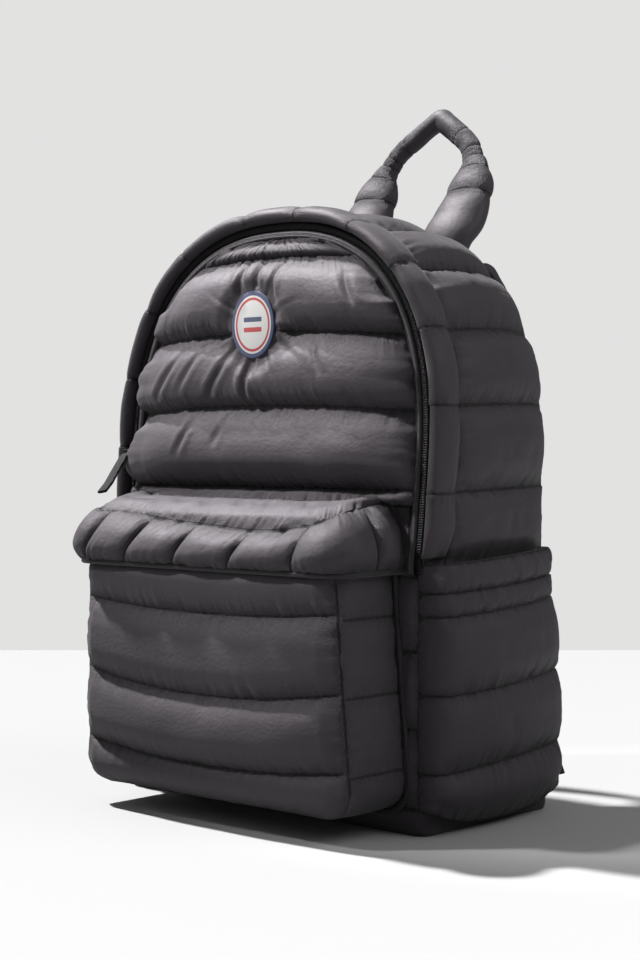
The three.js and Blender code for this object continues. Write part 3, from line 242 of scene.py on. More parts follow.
def cloth_relief_group():
    """Weave, gathers that fade away from seams and borders, puckers with painted shade in their
    hollows, and the thread in a seam, painted near black so that it also stands for painted shade in
    the seam's groove. The UV map holds metres along and across the seams."""
    group, given, result = new_group(
        "cloth_relief",
        ["UV", "Place"],
        {"Seam": 1.0, "Border": 1.0, "Gather": 1.0, "Crinkle": 1.0},
        ["Height", "ThreadAndShade", "Shade"],
    )
    uv, place, seam = given["UV"], given["Place"], given["Seam"]

    def calc(operation, *values, clamp=False):
        return maths(group, operation, *values, clamp=clamp)

    def ripples(vector, size, detail):
        stretched = add_node(group, "ShaderNodeMapping", i0=vector, Scale=size).outputs[0]
        return noise(group, stretched, detail)

    def faded(value, distance, rate):
        return calc("MULTIPLY", value, calc("POWER", 2.718, calc("MULTIPLY", distance, -rate)))

    gathers = ripples(uv, (420, 55, 1), 2.0)
    edge_gathers = ripples(uv, (45, 330, 1), 2.0)
    both = calc("ADD", faded(gathers, seam, 170.0), faded(edge_gathers, given["Border"], 150.0))
    crinkles = calc("MULTIPLY", ripples(place, (55, 55, 80), 4.0), given["Crinkle"])
    weave = calc("ADD", waves(group, uv, "X", 520.0), waves(group, uv, "Y", 520.0))
    # The seam's dark line: its thread, painted near black as painted shade in the seam's groove too.
    near_seam = calc("MULTIPLY_ADD", seam, -2400.0, 2.5)
    thread = calc("SMOOTH_MIN", near_seam, 1.0, 0.2, clamp=True)
    # Painted shade: the hollows of the gathers next to a seam are darkened towards the thread colour.
    pucker_shade = faded(calc("MULTIPLY_ADD", gathers, -9.0, 4.85, clamp=True), seam, 330.0)
    pucker_shade = calc("MULTIPLY", pucker_shade, given["Gather"], clamp=True)
    stitch = calc("GREATER_THAN", waves(group, uv, "X", 48.0), 0.3)
    sewn_and_shaded = calc("MULTIPLY", thread, calc("MULTIPLY_ADD", stitch, 0.3, 0.7))
    height = calc("MULTIPLY", calc("MULTIPLY", both, given["Gather"]), 1.1)
    for layer, share in ((crinkles, 0.22), (weave, 0.012), (thread, -0.6)):
        height = calc("MULTIPLY_ADD", layer, share, height)
    group.links.new(height, result["Height"])
    group.links.new(calc("MAXIMUM", sewn_and_shaded, calc("MULTIPLY", pucker_shade, 0.85)), result["ThreadAndShade"])
    group.links.new(noise(group, place, 3.0, 14.0), result["Shade"])
    return group


NYLON_COLOUR = (0.045, 0.039, 0.045, 1)
NYLON_WORN_COLOUR = (0.060, 0.053, 0.060, 1)
# Near black: the thread in the seams, and the painted shade in their grooves, in the hollows of their
# puckers and along lines that take a seam's dark line.
SEAM_THREAD_AND_SHADE_COLOUR = (0.002, 0.002, 0.002, 1)
cloth_relief = cloth_relief_group()


def cloth_material(
    name, colour, worn, roughness=0.58, gather=1.0, crinkle=1.0, depth=0.0016, sheen=0.12,
    thread=SEAM_THREAD_AND_SHADE_COLOUR,
):
    material, tree, shader = new_material(name)
    uv = add_node(tree, "ShaderNodeUVMap", {"uv_map": "cloth"}).outputs[0]
    place = add_node(tree, "ShaderNodeTexCoord").outputs["Object"]
    seam, border = (
        add_node(tree, "ShaderNodeAttribute", {"attribute_name": label}).outputs["Fac"]
        for label in ("seam", "border")
    )
    relief = add_node(
        tree, "ShaderNodeGroup", {"node_tree": cloth_relief}, UV=uv, Place=place, Seam=seam,
        Border=border, Gather=gather, Crinkle=crinkle,
    ).outputs
    cloth = mixed(tree, relief["Shade"], colour, worn)
    varied = maths(tree, "MULTIPLY_ADD", relief["Shade"], 0.16, roughness - 0.08)
    # The seams and the hollows of their puckers are mixed towards the thread colour: thread and
    # painted shade.
    sewn_and_shaded = mixed(tree, relief["ThreadAndShade"], cloth, thread)
    wired(tree, shader, sewn_and_shaded, varied, relief["Height"], 0.8, depth)
    shader["Sheen Weight"].default_value = sheen
    shader["Sheen Roughness"].default_value = 0.45
    shader["Specular IOR Level"].default_value = 0.5
    shader["Specular Tint"].default_value = (1.0, 0.93, 0.99, 1)
    return material


nylon = cloth_material("quilted_nylon", NYLON_COLOUR, NYLON_WORN_COLOUR)

# A padded piece is a grid of points, held at its seams and blown up by its wadding, then given
# gathers along each seam and an inner side, so that it is one closed body.
CLOTH_STEP = 0.0026
CLOTH_SCALE = 10.0  # it settles on a larger copy, where the stiffnesses suit thin nylon
CLOTH_FRAMES = 24
CLOTH_VALUES = {
    "quality": 5,
    "mass": 0.15,
    "air_damping": 1.5,
    "tension_stiffness": 12,
    "compression_stiffness": 12,
    "shear_stiffness": 4,
    "bending_model": "LINEAR",
    "bending_stiffness": 1.2,
    "tension_damping": 8,
    "compression_damping": 8,
    "shear_damping": 6,
    "bending_damping": 0.3,
    "vertex_group_mass": "held",
    "pin_stiffness": 1,
    "use_pressure": True,
    "pressure_factor": 0,
}
ON_SEAM = 1e-7
INNER_STEP = 4  # the inner side takes every fourth point
NO_SEAM, NO_BORDER = 0.02, 0.1


def grid_faces(rows, columns, round_again=False):
    last = columns if round_again else columns - 1
    r, c = np.meshgrid(np.arange(rows - 1), np.arange(last), indexing="ij")
    a = r * columns + c
    b = r * columns + (c + 1) % columns
    return np.stack([a, b, b + columns, a + columns], -1).reshape(-1, 4)


def mesh_object(name, points, faces):
    mesh = bpy.data.meshes.new(name)
    corners = [list(map(int, face)) for face in faces]
    mesh.from_pydata(np.asarray(points).reshape(-1, 3).tolist(), [], corners)
    mesh.update()
    mesh.shade_smooth()
    thing = bpy.data.objects.new(name, mesh)
    bpy.context.scene.collection.objects.link(thing)
    return thing


def settled(points, held, slack, pressure, round_again=False):
    """The grid after its cloth has settled. Held points stay where they are."""
    rows, columns, _ = points.shape
    faces = grid_faces(rows, columns, round_again)
    cloth = mesh_object("cloth_trial", points * CLOTH_SCALE, faces)
    group = cloth.vertex_groups.new(name="held")
    group.add(np.flatnonzero(held.ravel()).tolist(), 1.0, "REPLACE")
    modifier = cloth.modifiers.new("cloth", "CLOTH")
    for key, value in CLOTH_VALUES.items():
        setattr(modifier.settings, key, value)
    modifier.settings.shrink_min = modifier.settings.shrink_max = -slack
    modifier.settings.uniform_pressure_force = pressure
    modifier.settings.effector_weights.gravity = 0
    modifier.collision_settings.use_collision = False
    modifier.point_cache.frame_start = 1
    modifier.point_cache.frame_end = CLOTH_FRAMES
    scene = bpy.context.scene
    for step in range(1, CLOTH_FRAMES + 1):
        scene.frame_set(step)
    evaluated = cloth.evaluated_get(bpy.context.evaluated_depsgraph_get())
    found = np.zeros(rows * columns * 3, np.float32)
    evaluated.data.vertices.foreach_get("co", found)
    scene.frame_set(1)
    bpy.data.objects.remove(cloth)
    return found.reshape(rows, columns, 3).astype(float) / CLOTH_SCALE


def channelled(edges, step=CLOTH_STEP):
    """Steps from the first edge to the last, with one on each edge."""
    values = []
    for low, high in zip(edges[:-1], edges[1:]):
        count = max(4, int(round((high - low) / step)))
        values += list(low + (high - low) * np.arange(count) / count)
    return np.array(values + [edges[-1]])


def channel_share(values, edges):
    edges = np.asarray(edges)
    i = np.clip(np.searchsorted(edges, values, "right") - 1, 0, len(edges) - 2)
    return ramp(values, edges[i], edges[i + 1] - edges[i])


def seam_distance(values, edges):
    return np.abs(np.asarray(values)[..., None] - np.asarray(edges)).min(-1)


def seam_side(values, edges):
    """A number for each half channel, which tells the two sides of a seam apart."""
    edges = np.asarray(edges)
    return np.searchsorted(edges, values, "right") * 2 + (channel_share(values, edges) > 0.5)


def puff(share, squareness=2.4):
    return 1 - np.abs(2 * share - 1) ** squareness


def halfway(grid, axis, round_again=False, straight=False):
    """Twice as many steps along one axis, on a smooth curve through the old ones."""
    grid = np.moveaxis(grid, axis, 0)
    if round_again:
        before, after, beyond = (np.roll(grid, shift, 0) for shift in (1, -1, -2))
        middle = (-before + 9 * grid + 9 * after - beyond) / 16
        if straight:
            middle = (grid + after) / 2
        out = np.stack([grid, middle], 1).reshape(-1, *grid.shape[1:])
        return np.moveaxis(out, 0, axis)
    padded = np.concatenate([2 * grid[:1] - grid[1:2], grid, 2 * grid[-1:] - grid[-2:-1]])
    middle = (-padded[:-3] + 9 * padded[1:-2] + 9 * padded[2:-1] - padded[3:]) / 16
    if straight:
        middle = (grid[:-1] + grid[1:]) / 2
    out = np.empty((2 * len(grid) - 1, *grid.shape[1:]))
    out[::2] = grid
    out[1::2] = middle
    return np.moveaxis(out, 0, axis)


def finer(grid, round_again=False, straight=False):
    return halfway(halfway(grid, 0, False, straight), 1, round_again, straight)


def soft_noise(rng, count, width):
    """A line of smooth random numbers, between about -2 and 2."""
    reach = int(width * 4) + 1
    kernel = np.exp(-0.5 * (np.arange(-reach, reach + 1) / width) ** 2)
    line = np.convolve(rng.normal(size=count + 2 * reach), kernel, "same")[reach : reach + count]
    return line / line.std()


def soft_patches(rng, shape, passes):
    """A sheet of smooth random numbers, between about -2 and 2."""
    sheet = rng.normal(size=shape)
    for _ in range(passes):
        down = sheet + np.roll(sheet, 1, 0) + np.roll(sheet, -1, 0)
        sheet = (down + np.roll(sheet, 1, 1) + np.roll(sheet, -1, 1)) / 5
    return sheet / sheet.std()


def unit(vectors):
    return vectors / (np.linalg.norm(vectors, axis=-1, keepdims=True) + 1e-12)


def length_along(path):
    return np.concatenate([[0], np.cumsum(np.linalg.norm(np.diff(path, axis=0), axis=1))])


def grid_normals(points, outwards, round_again=False):
    if round_again:
        du = np.roll(points, -1, 1) - np.roll(points, 1, 1)
    else:
        du = np.gradient(points, axis=1)
    normals = unit(np.cross(du, np.gradient(points, axis=0)))
    facing = np.sign((normals * outwards).sum(-1, keepdims=True))
    return normals * np.where(facing == 0, 1, facing)


def run_along(points, axis):
    """How far each point of a grid lies along the cloth, from its middle line."""
    steps = np.linalg.norm(np.diff(points, axis=axis), axis=-1)
    run = np.cumsum(steps, axis=axis)
    run = np.concatenate([np.zeros_like(np.take(run, [0], axis)), run], axis)
    return run - np.take(run, [run.shape[axis] // 2], axis)


def gathered(points, outwards, seam, side, rng, height, reach, round_again=False):
    """Small ripples across each seam, dying away from it, with their own on each side of it."""
    columns = points.shape[1]
    ripple = np.zeros(points.shape[:2])
    for key in np.unique(side):
        line = 0.8 * soft_noise(rng, columns, 0.9) + 0.7 * soft_noise(rng, columns, 2.0)
        ripple = np.where(side == key, line[None, :], ripple)
    fade = ramp(seam, 0, 0.0012) * np.exp(-seam / reach)
    normals = grid_normals(points, outwards, round_again)
    return points + normals * (ripple * fade * height)[..., None]


def turned_out(thing):
    """Every face of a closed piece is turned outwards."""
    bpy.ops.object.select_all(action="DESELECT")
    thing.select_set(True)
    bpy.context.view_layer.objects.active = thing
    bpy.ops.object.mode_set(mode="EDIT")
    bpy.ops.mesh.select_all(action="SELECT")
    bpy.ops.mesh.normals_make_consistent(inside=False)
    bpy.ops.object.mode_set(mode="OBJECT")


def closed_wall(name, outer, inner, along, across, seam, round_again=False, border=None):
    """One closed body from a fine outer grid and a coarser inner one, or with ends if it has none."""
    rows, columns = outer.shape[:2]
    faces = [tuple(f) for f in grid_faces(rows, columns, round_again)]
    points = [outer.reshape(-1, 3)]
    if inner is None:
        for row in (0, rows - 1):
            ring = [row * columns + c for c in range(columns)]
            faces.append(tuple(ring if row == 0 else ring[::-1]))
    else:
        r_at, c_at = (sorted({*range(0, n, INNER_STEP), n - 1}) for n in (rows, columns))
        base, wide = rows * columns, len(c_at)
        points.append(inner[np.ix_(r_at, c_at)].reshape(-1, 3))
        faces += [tuple(base + f[::-1]) for f in grid_faces(len(r_at), wide)]

        def strip(line, first, second, turned):
            face = line + [second, first]
            faces.append(tuple(face[::-1] if turned else face))

        for row, i, turned in ((0, 0, True), (rows - 1, len(r_at) - 1, False)):
            for j, (a, b) in enumerate(zip(c_at[:-1], c_at[1:])):
                line = [row * columns + c for c in range(a, b + 1)]
                strip(line, base + i * wide + j, base + i * wide + j + 1, turned)
        for column, j, turned in ((0, 0, False), (columns - 1, wide - 1, True)):
            for i, (a, b) in enumerate(zip(r_at[:-1], r_at[1:])):
                line = [r * columns + column for r in range(a, b + 1)]
                strip(line, base + i * wide + j, base + (i + 1) * wide + j, turned)
    points = np.concatenate(points)
    thing = mesh_object(name, points, faces)
    mesh = thing.data
    pad = len(points) - rows * columns
    border = np.full(seam.shape, NO_BORDER) if border is None else border
    for label, values, none in (("seam", seam, NO_SEAM), ("border", border, NO_BORDER)):
        values = np.concatenate([values.ravel(), np.full(pad, none)]).astype(np.float32)
        mesh.attributes.new(label, "FLOAT", "POINT").data.foreach_set("value", values)
    uv = np.stack([np.concatenate([a.ravel(), np.zeros(pad)]) for a in (along, across)], 1)
    corner = np.zeros(len(mesh.loops), np.int32)
    mesh.loops.foreach_get("vertex_index", corner)
    uv_map = mesh.uv_layers.new(name="cloth")
    uv_map.data.foreach_set("uv", uv[corner].astype(np.float32).ravel())
    turned_out(thing)
    return thing


def padded_panel(
    name, place, us, vs, seams, depth, seed, shape, wall=0.006, slack=0.012, pressure=8.0,
    gather=0.0005, squareness=2.6, extra=None, held_more=None, unevenness=0.0003, patch_size=14,
    along_u=(), line_end=0.0, edge_gather=0.0004, border_from=None, wrinkles=None, low=1.0,
):
    """A quilted panel. place(u, v, out) gives its points. It is sewn down along each v of seams,
    and each u of along_u up to line_end takes a seam's dark line, which is stitching on the flap and
    painted shade behind the rim on the gusset. Where low is under 1, each channel is fullest below
    its middle."""
    rng = np.random.default_rng(seed)
    u, v = np.meshgrid(us, vs)
    swell = puff(channel_share(v, seams) ** low, squareness) * shape(u, v)
    seam = seam_distance(v, seams)
    held = seam < ON_SEAM
    held[:, 0] = held[:, -1] = held[0, :] = held[-1, :] = True
    if held_more is not None:
        held = held | held_more(u, v)
    patches = soft_patches(rng, u.shape, patch_size)
    swell = swell * depth
    start = place(u, v, swell + np.where(held, 0, patches * unevenness * (swell > 0.0005)))
    outwards = place(u, v, np.full(u.shape, 0.001)) - place(u, v, np.zeros(u.shape))
    fine = finer(settled(start, held, slack, pressure))
    fine_seam, fine_u, fine_v, fine_out = (
        finer(grid, straight=True) for grid in (seam, u, v, outwards)
    )
    along, across = run_along(fine, 1), run_along(fine, 0)
    fine = gathered(fine, fine_out, fine_seam, seam_side(fine_v, seams), rng, gather, 0.006)

    def raised(points, height):
        return points + grid_normals(points, fine_out) * height[..., None]

    def from_line(at):
        column = int(np.argmin(np.abs(fine_u[0] - at)))
        return np.abs(along - along[:, column : column + 1])

    border = np.minimum(along - along[:, :1], along[:, -1:] - along)
    edge_line = 0.8 * soft_noise(rng, len(fine), 1.2) + 0.6 * soft_noise(rng, len(fine), 2.5)
    edge_line = edge_line[:, None]
    edge_fade = edge_line * ramp(border, 0, 0.002) * np.exp(-border / 0.011)
    fine = raised(fine, edge_fade * edge_gather)
    fine_seam = np.minimum(fine_seam, border)
    if border_from is not None:
        border = np.where(fine_u >= border_from, from_line(border_from), NO_BORDER)
        fine = raised(fine, edge_line * wrinkles(fine_v, border))
    for line in along_u:
        on_line = np.minimum(fine_seam, from_line(line))
        fine_seam = np.where(fine_v < line_end, on_line, fine_seam)
    if extra is not None:
        fine = raised(fine, extra(fine_u, fine_v))
    inner = place(fine_u, fine_v, np.full(fine_u.shape, -wall))
    return closed_wall(name, fine, inner, along, across, fine_seam, border=border)


def dressed(thing, material, slot, *nodes, fill=None):
    """The piece takes its finish, rides on the bag and stands for its CAD nodes."""
    thing.data.materials.append(material)
    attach(thing, "root")
    if nodes:
        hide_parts(*nodes)
    return thing


ARCH_SEAMS = [
    -0.427, -0.3785, -0.330, -0.2815, -0.233, -0.1845, -0.135, -0.086, -0.026,
    0.020, 0.068, 0.1135, 0.159, 0.2075, 0.2632, 0.3117, 0.3602, 0.4087,
]
GUSSET_END_S = s_at(BASE_TOP_Z)
GUSSET_FRONT_Y, GUSSET_BACK_Y = -0.0697, 0.0728
GUSSET_PUFF_FRONT_Y = -0.0530  # the rim lies on the cloth before this
GUSSET_OUT = 0.004  # the sewn-down cloth lies this far outside the zip line
GUSSET_TAPER = 0.011  # each side draws in by this much towards the back, above the base
# Painted shade: these lines on the gusset take a seam's dark line, standing for the shade in the
# crease behind the rim.
GUSSET_SHADE_LINE_YS = (-0.0506, -0.0494, -0.0482)  # the dark crease behind the rim
SEAM_BEND = ([0.02, 0.06, 0.15, 0.22], [0.0, 0.011, 0.009, 0.003])  # seams climb towards the back
gusset_seams = [-GUSSET_END_S, *ARCH_SEAMS, GUSSET_END_S]


def taper_at(z):
    t = ramp(z, 0.018, SIDE_POCKET_TOP_Z - 0.018)
    return GUSSET_TAPER * t * t * (3 - 2 * t)


def gusset_place(u, v, out):
    share = (u - GUSSET_FRONT_Y) / (GUSSET_BACK_Y - GUSSET_FRONT_Y)
    _, z = arch_at(v, 0.0)
    bend = -share * np.interp(np.abs(v), *SEAM_BEND)
    across = np.sin(np.pi * np.clip(share, 0, 1) ** 1.6) ** 0.8
    fuller = 0.006 * ramp(z, 0.205, 0.05) * across
    offset = GUSSET_OUT - taper_at(z) * share**1.5 + fuller + out
    x, z = arch_at(v + np.sign(v) * bend, offset, 1 - share)
    return np.stack([x, u, z], -1)


def above_side_pocket(v):
    _, z = arch_at(v, 0.0)
    return 0.15 + 0.85 * ramp(z, 0.176, 0.012)


def gusset_fullness(u, v):
    share = ramp(u, GUSSET_PUFF_FRONT_Y, GUSSET_BACK_Y - GUSSET_PUFF_FRONT_Y)
    return above_side_pocket(v) * puff(share, 5)


def gusset_wrinkles(v, border):
    near_rim = 0.0013 * ramp(border, 0, 0.002) * np.exp(-border / 0.012)
    return near_rim * (np.abs(v) > 0.06)


gusset = padded_panel(
    "gusset_cloth", gusset_place,
    channelled([GUSSET_FRONT_Y, GUSSET_PUFF_FRONT_Y, GUSSET_BACK_Y], 0.0028),
    channelled(gusset_seams), gusset_seams, depth=0.0085, seed=11, shape=gusset_fullness,
    held_more=lambda u, v: (above_side_pocket(v) < 0.5) | (u < GUSSET_PUFF_FRONT_Y + 1e-6),
    slack=0.006, squareness=3.0, unevenness=0.0002,
    # lines of painted shade behind the rim
    along_u=GUSSET_SHADE_LINE_YS, line_end=GUSSET_END_S + 1,
    border_from=GUSSET_PUFF_FRONT_Y, wrinkles=gusset_wrinkles,
)
dressed(gusset, nylon, "quilted_nylon", "gusset", fill=0.6)

# Rim. The stuffed flap of the same nylon that stands round the zip and shields it. It is sewn to
# the gusset, whose quilting pinches it.
RIM_WIDTH, RIM_HEIGHT, RIM_FRONT_Y = 0.027, 0.0092, -0.079
RIM_END_S = s_at(SIDE_POCKET_TOP_Z + 0.0003)
RIM_SIDES = 26
RIM_PROFILE = np.array(
    # share of its height, share of its width from the front
    [
        [0.02, 0.97], [0.4, 1.0], [0.78, 0.93], [0.97, 0.72], [1.0, 0.5],
        [0.96, 0.25], [0.72, 0.05], [0.35, 0.0], [0.02, 0.1], [-0.1, 0.5],
    ]
)


def round_spline(points, count):
    """Evenly spread points on a closed smooth curve through the given ones."""
    n = len(points)
    t = np.linspace(0, n, count * 8, endpoint=False)
    i, f = np.floor(t).astype(int), (t % 1)[:, None]
    p0, p1, p2, p3 = (points[(i + k) % n] for k in (-1, 0, 1, 2))
    curve = 0.5 * (
        2 * p1 + (p2 - p0) * f + (2 * p0 - 5 * p1 + 4 * p2 - p3) * f**2
        + (3 * p1 - p0 - 3 * p2 + p3) * f**3
    )
    curve = np.concatenate([curve, curve[:1]])
    length = length_along(curve)
    wanted = np.linspace(0, length[-1], count, endpoint=False)
    return np.stack([np.interp(wanted, length, curve[:, k]) for k in range(points.shape[1])], 1)


rim_ring = round_spline(RIM_PROFILE * [RIM_HEIGHT, RIM_WIDTH], RIM_SIDES)
rim_seams = [-RIM_END_S, *[s for s in ARCH_SEAMS if abs(s) < RIM_END_S - 0.01], RIM_END_S]


def rim_place(u, v, out):
    around = u.astype(int)
    up, over = rim_ring[around, 0], rim_ring[around, 1]
    _, height = arch_at(v, 0.0)
    ends = ramp(height, SIDE_POCKET_TOP_Z, 0.02)
    full = (1 - 0.09 * (1 - puff(channel_share(v, rim_seams), 4.0))) * (0.4 + 0.6 * ends)
    x, z = arch_at(v, 0.0038 + up * full + out * ramp(up, 0, RIM_HEIGHT))
    right_leg = ramp(v, 0.10, 0.08)
    y = RIM_FRONT_Y + 0.0035 * right_leg + over * (1 - 0.1 * right_leg)
    return np.stack([x, y - out * (1 - over / RIM_WIDTH * 2) * 0.6, z], -1)


def tube_panel(
    name, place, sides, vs, seams, depth, seed, held=None, slack=0.01, gather=0.0004,
    pressure=8.0, reach=0.006, creases=(), unevenness=0.0002,
):
    """A stuffed tube, sewn round at its seams. place takes whole numbers round it."""
    rng = np.random.default_rng(seed)
    u, v = np.meshgrid(np.arange(sides).astype(float), vs)
    seam = seam_distance(v, seams)
    pinned = seam < ON_SEAM
    if held is not None:
        pinned = pinned | held(u)
    swell = depth * puff(channel_share(v, seams), 2.4)
    patches = soft_patches(rng, u.shape, 10)
    start = place(u, v, swell + np.where(pinned, 0, patches * unevenness))
    fine = finer(settled(start, pinned, slack, pressure, round_again=True), True)
    centre = fine.mean(1, keepdims=True)
    fine_seam, fine_v = finer(seam, True, True), finer(v, True, True)
    for crease in creases:
        off = np.abs(fine_v - crease + 0.0004 * soft_noise(rng, fine.shape[1], 12.0)[None, :])
        fine = fine - (fine - centre) * (0.08 * np.exp(-((off / 0.0015) ** 2)))[..., None]
        # A crease also takes a seam's dark line: painted shade in its fold.
        fine_seam = np.minimum(fine_seam, off + 0.0004)
    side = seam_side(fine_v, seams)
    fine = gathered(fine, fine - centre, fine_seam, side, rng, gather, reach, True)
    steps = np.linalg.norm(np.roll(fine, -1, 1) - fine, axis=-1)
    around = np.cumsum(steps, axis=1) - steps
    return closed_wall(name, fine, None, around, fine_v, fine_seam, True)


rim = tube_panel(
    "rim_cloth", rim_place, RIM_SIDES, channelled(rim_seams), rim_seams, 0.0008, 12,
    held=lambda u: rim_ring[u.astype(int), 0] < 0.0015, slack=0.004, pressure=2.5,
)
dressed(rim, nylon, "quilted_nylon", "rim", fill=0.7)

# Zip. A woven tape with a nylon coil, 5 mm wide with a tooth every 1.6 mm, and on the panel's
# side a folded edge of cloth with a stitched line. The slider is a lacquered die casting, parked
# at the left, with a doubled tape as its pull.
ZIP_END_S = s_at(0.170)
TOOTH_PITCH = 0.0016


def hard_grain_group():
    """Fine grain, with broader patches where a hard surface is rubbed."""
    group, given, result = new_group(
        "hard_grain", ["Place"], {"Grain": 900.0, "Rub": 0.5}, ["Height", "Rubbed"]
    )
    patches = noise(group, given["Place"], 4.0, 160.0)
    patches = maths(group, "MULTIPLY_ADD", patches, 3.0, -1.2, clamp=True)
    group.links.new(noise(group, given["Place"], 3.0, given["Grain"]), result["Height"])
    group.links.new(maths(group, "MULTIPLY", patches, given["Rub"]), result["Rubbed"])
    return group


hard_grain = hard_grain_group()


def hard_finish(name, colour, rubbed_colour, roughness, grain, rub, metallic=0.0):
    material, tree, shader = new_material(name)
    place = add_node(tree, "ShaderNodeTexCoord").outputs["Object"]
    grained = add_node(
        tree, "ShaderNodeGroup", {"node_tree": hard_grain}, Place=place, Grain=grain, Rub=rub
    ).outputs
    rubbed = grained["Rubbed"]
    varied = maths(tree, "MULTIPLY_ADD", rubbed, -0.15, roughness)
    painted = mixed(tree, rubbed, colour, rubbed_colour)
    wired(tree, shader, painted, varied, grained["Height"], 0.4, 0.0002)
    shader["Metallic"].default_value = metallic
    shader["Specular IOR Level"].default_value = 0.3
    return material


def ribbed_finish(name, colour, light, rib_scale, roughness, depth):
    """Woven ribs on Object coordinates: lengthwise ridges crossed by finer picks. The colour runs
    from the dark one in the hollows to the light one on the crests: painted shade and painted light
    in the weave.
    """
    material, tree, shader = new_material(name)
    place = add_node(tree, "ShaderNodeTexCoord").outputs["Object"]
    ribs = waves(tree, place, "X", rib_scale, 0.6)
    picks = waves(tree, place, "Z", rib_scale * 1.7)
    fuzz = noise(tree, place, 3.0, 900.0)
    woven = maths(tree, "MULTIPLY", ribs, maths(tree, "MULTIPLY_ADD", picks, 0.5, 0.5))
    height = maths(tree, "MULTIPLY_ADD", fuzz, 0.25, woven)
    # Painted shade and light: darker in the hollows and lighter on the crests, by the height of the
    # weave.
    shaded = mixed(tree, maths(tree, "MULTIPLY", height, 0.8, clamp=True), colour, light)
    varied = maths(tree, "MULTIPLY_ADD", fuzz, 0.2, roughness - 0.1)
    wired(tree, shader, shaded, varied, height, 0.7, depth)
    shader["Specular IOR Level"].default_value = 0.3
    return material


tape_cloth = cloth_material(
    "zip_cloth", (0.012, 0.012, 0.013, 1), (0.02, 0.02, 0.021, 1), 0.75, 0.2, 0.3, 0.0006, 0.1
)
coil_nylon = hard_finish(
    "zip_plastic", (0.008, 0.008, 0.009, 1), (0.016, 0.016, 0.017, 1), 0.55, 1500.0, 0.4
)
# Its stitched line is painted light grey: a painted highlight on the thread of the topstitch.
edge_cloth = cloth_material(
    "folded_edge", (0.020, 0.018, 0.020, 1), (0.030, 0.027, 0.030, 1), 0.5, 0.0, 0.5, 0.0012, 0.12,
    thread=(0.10, 0.095, 0.10, 1),
)
# Its second colour is the painted light on the crests of its ribs.
webbing = ribbed_finish(
    "webbing", (0.009, 0.009, 0.010, 1), (0.022, 0.021, 0.023, 1), 160.0, 0.8, 0.0005
)
slider_metal = hard_finish(
    "slider_metal", (0.016, 0.016, 0.018, 1), (0.07, 0.068, 0.065, 1), 0.38, 700.0, 0.35, 0.6
)


def ribbon(name, s_steps, profile, bump=None, stitched_at=1.0):
    """A band along the zip line. Its profile is points of offset and y round it, and where it is
    bumped, of each point's share of the bump."""
    profile = np.asarray(profile, float)
    s = np.asarray(s_steps)[:, None]
    offset, y = profile[None, :, 0], np.repeat(profile[None, :, 1], len(s_steps), 0)
    if bump is not None:
        y = y - bump(s) * profile[None, :, 2]
    along, across = np.broadcast_to(s, y.shape), np.broadcast_to(offset, y.shape)
    x, z = arch_at(along, across)
    points = np.stack([x, y, z], -1)
    return closed_wall(name, points, None, along, across, np.abs(across - stitched_at), True)


tape = ribbon(
    "zip_tape_cloth",
    np.linspace(-ZIP_END_S, ZIP_END_S, 420),
    [
        [-0.0085, -0.0700], [-0.0085, -0.0711], [-0.003, -0.0712],
        [0.003, -0.0712], [0.0038, -0.0711], [0.0038, -0.0700],
    ],
)
dressed(tape, tape_cloth, "zip_cloth", "zip_tape")
coil = ribbon(
    "zip_coil_teeth",
    np.arange(-ZIP_END_S, ZIP_END_S, TOOTH_PITCH / 4),
    [
        [-0.0025, -0.0715, 0], [-0.0024, -0.0726, 1], [-0.0012, -0.0732, 1], [-0.0003, -0.0731, 0.4],
        [0.0003, -0.0731, 0.4], [0.0012, -0.0732, 1], [0.0024, -0.0726, 1], [0.0025, -0.0715, 0],
    ],
    bump=lambda s: 0.0006 * np.cos(2 * np.pi * s / TOOTH_PITCH),
)
dressed(coil, coil_nylon, "zip_plastic", "zip_coil")
folded_edge = ribbon(
    "folded_edge_cloth",
    np.linspace(-ZIP_END_S, ZIP_END_S, 480),
    [
        [-0.0088, -0.0714], [-0.0086, -0.0726], [-0.0074, -0.0735], [-0.0058, -0.0738],
        [-0.0054, -0.0738], [-0.0042, -0.0735], [-0.0032, -0.0726], [-0.0031, -0.0714],
    ],
    stitched_at=-0.0056,
)
dressed(folded_edge, edge_cloth, "quilted_nylon")


def bevelled(thing, width, segments, turn):
    """The active piece's edges are rounded where they turn by more than so many degrees."""
    rounded = thing.modifiers.new("edge", "BEVEL")
    rounded.width = width
    rounded.segments = segments
    rounded.limit_method = "ANGLE"
    rounded.angle_limit = np.radians(turn)
    bpy.ops.object.modifier_apply(modifier="edge")


def trimmed(node_name, name, edge, finish, slot):
    """A copy of a CAD piece with its facets joined and its edges rounded."""
    bpy.ops.object.select_all(action="DESELECT")
    thing = bpy.data.objects.new(name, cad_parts[node_name].data.copy())
    bpy.context.scene.collection.objects.link(thing)
    bpy.context.view_layer.objects.active = thing
    thing.select_set(True)
    bpy.ops.object.mode_set(mode="EDIT")
    bpy.ops.mesh.select_all(action="SELECT")
    bpy.ops.mesh.remove_doubles(threshold=0.00002)
    bpy.ops.mesh.dissolve_limited(angle_limit=np.radians(1.0))
    bpy.ops.object.mode_set(mode="OBJECT")
    bevelled(thing, edge, 3, 35)
    bpy.ops.object.shade_smooth_by_angle(angle=np.radians(40))
    thing.data.materials.clear()
    dressed(thing, finish, slot, node_name)


trimmed("zip_slider", "zip_slider_casting", 0.0004, slider_metal, "slider_metal")
trimmed("zip_pull", "zip_pull_tape", 0.0004, webbing, "webbing")

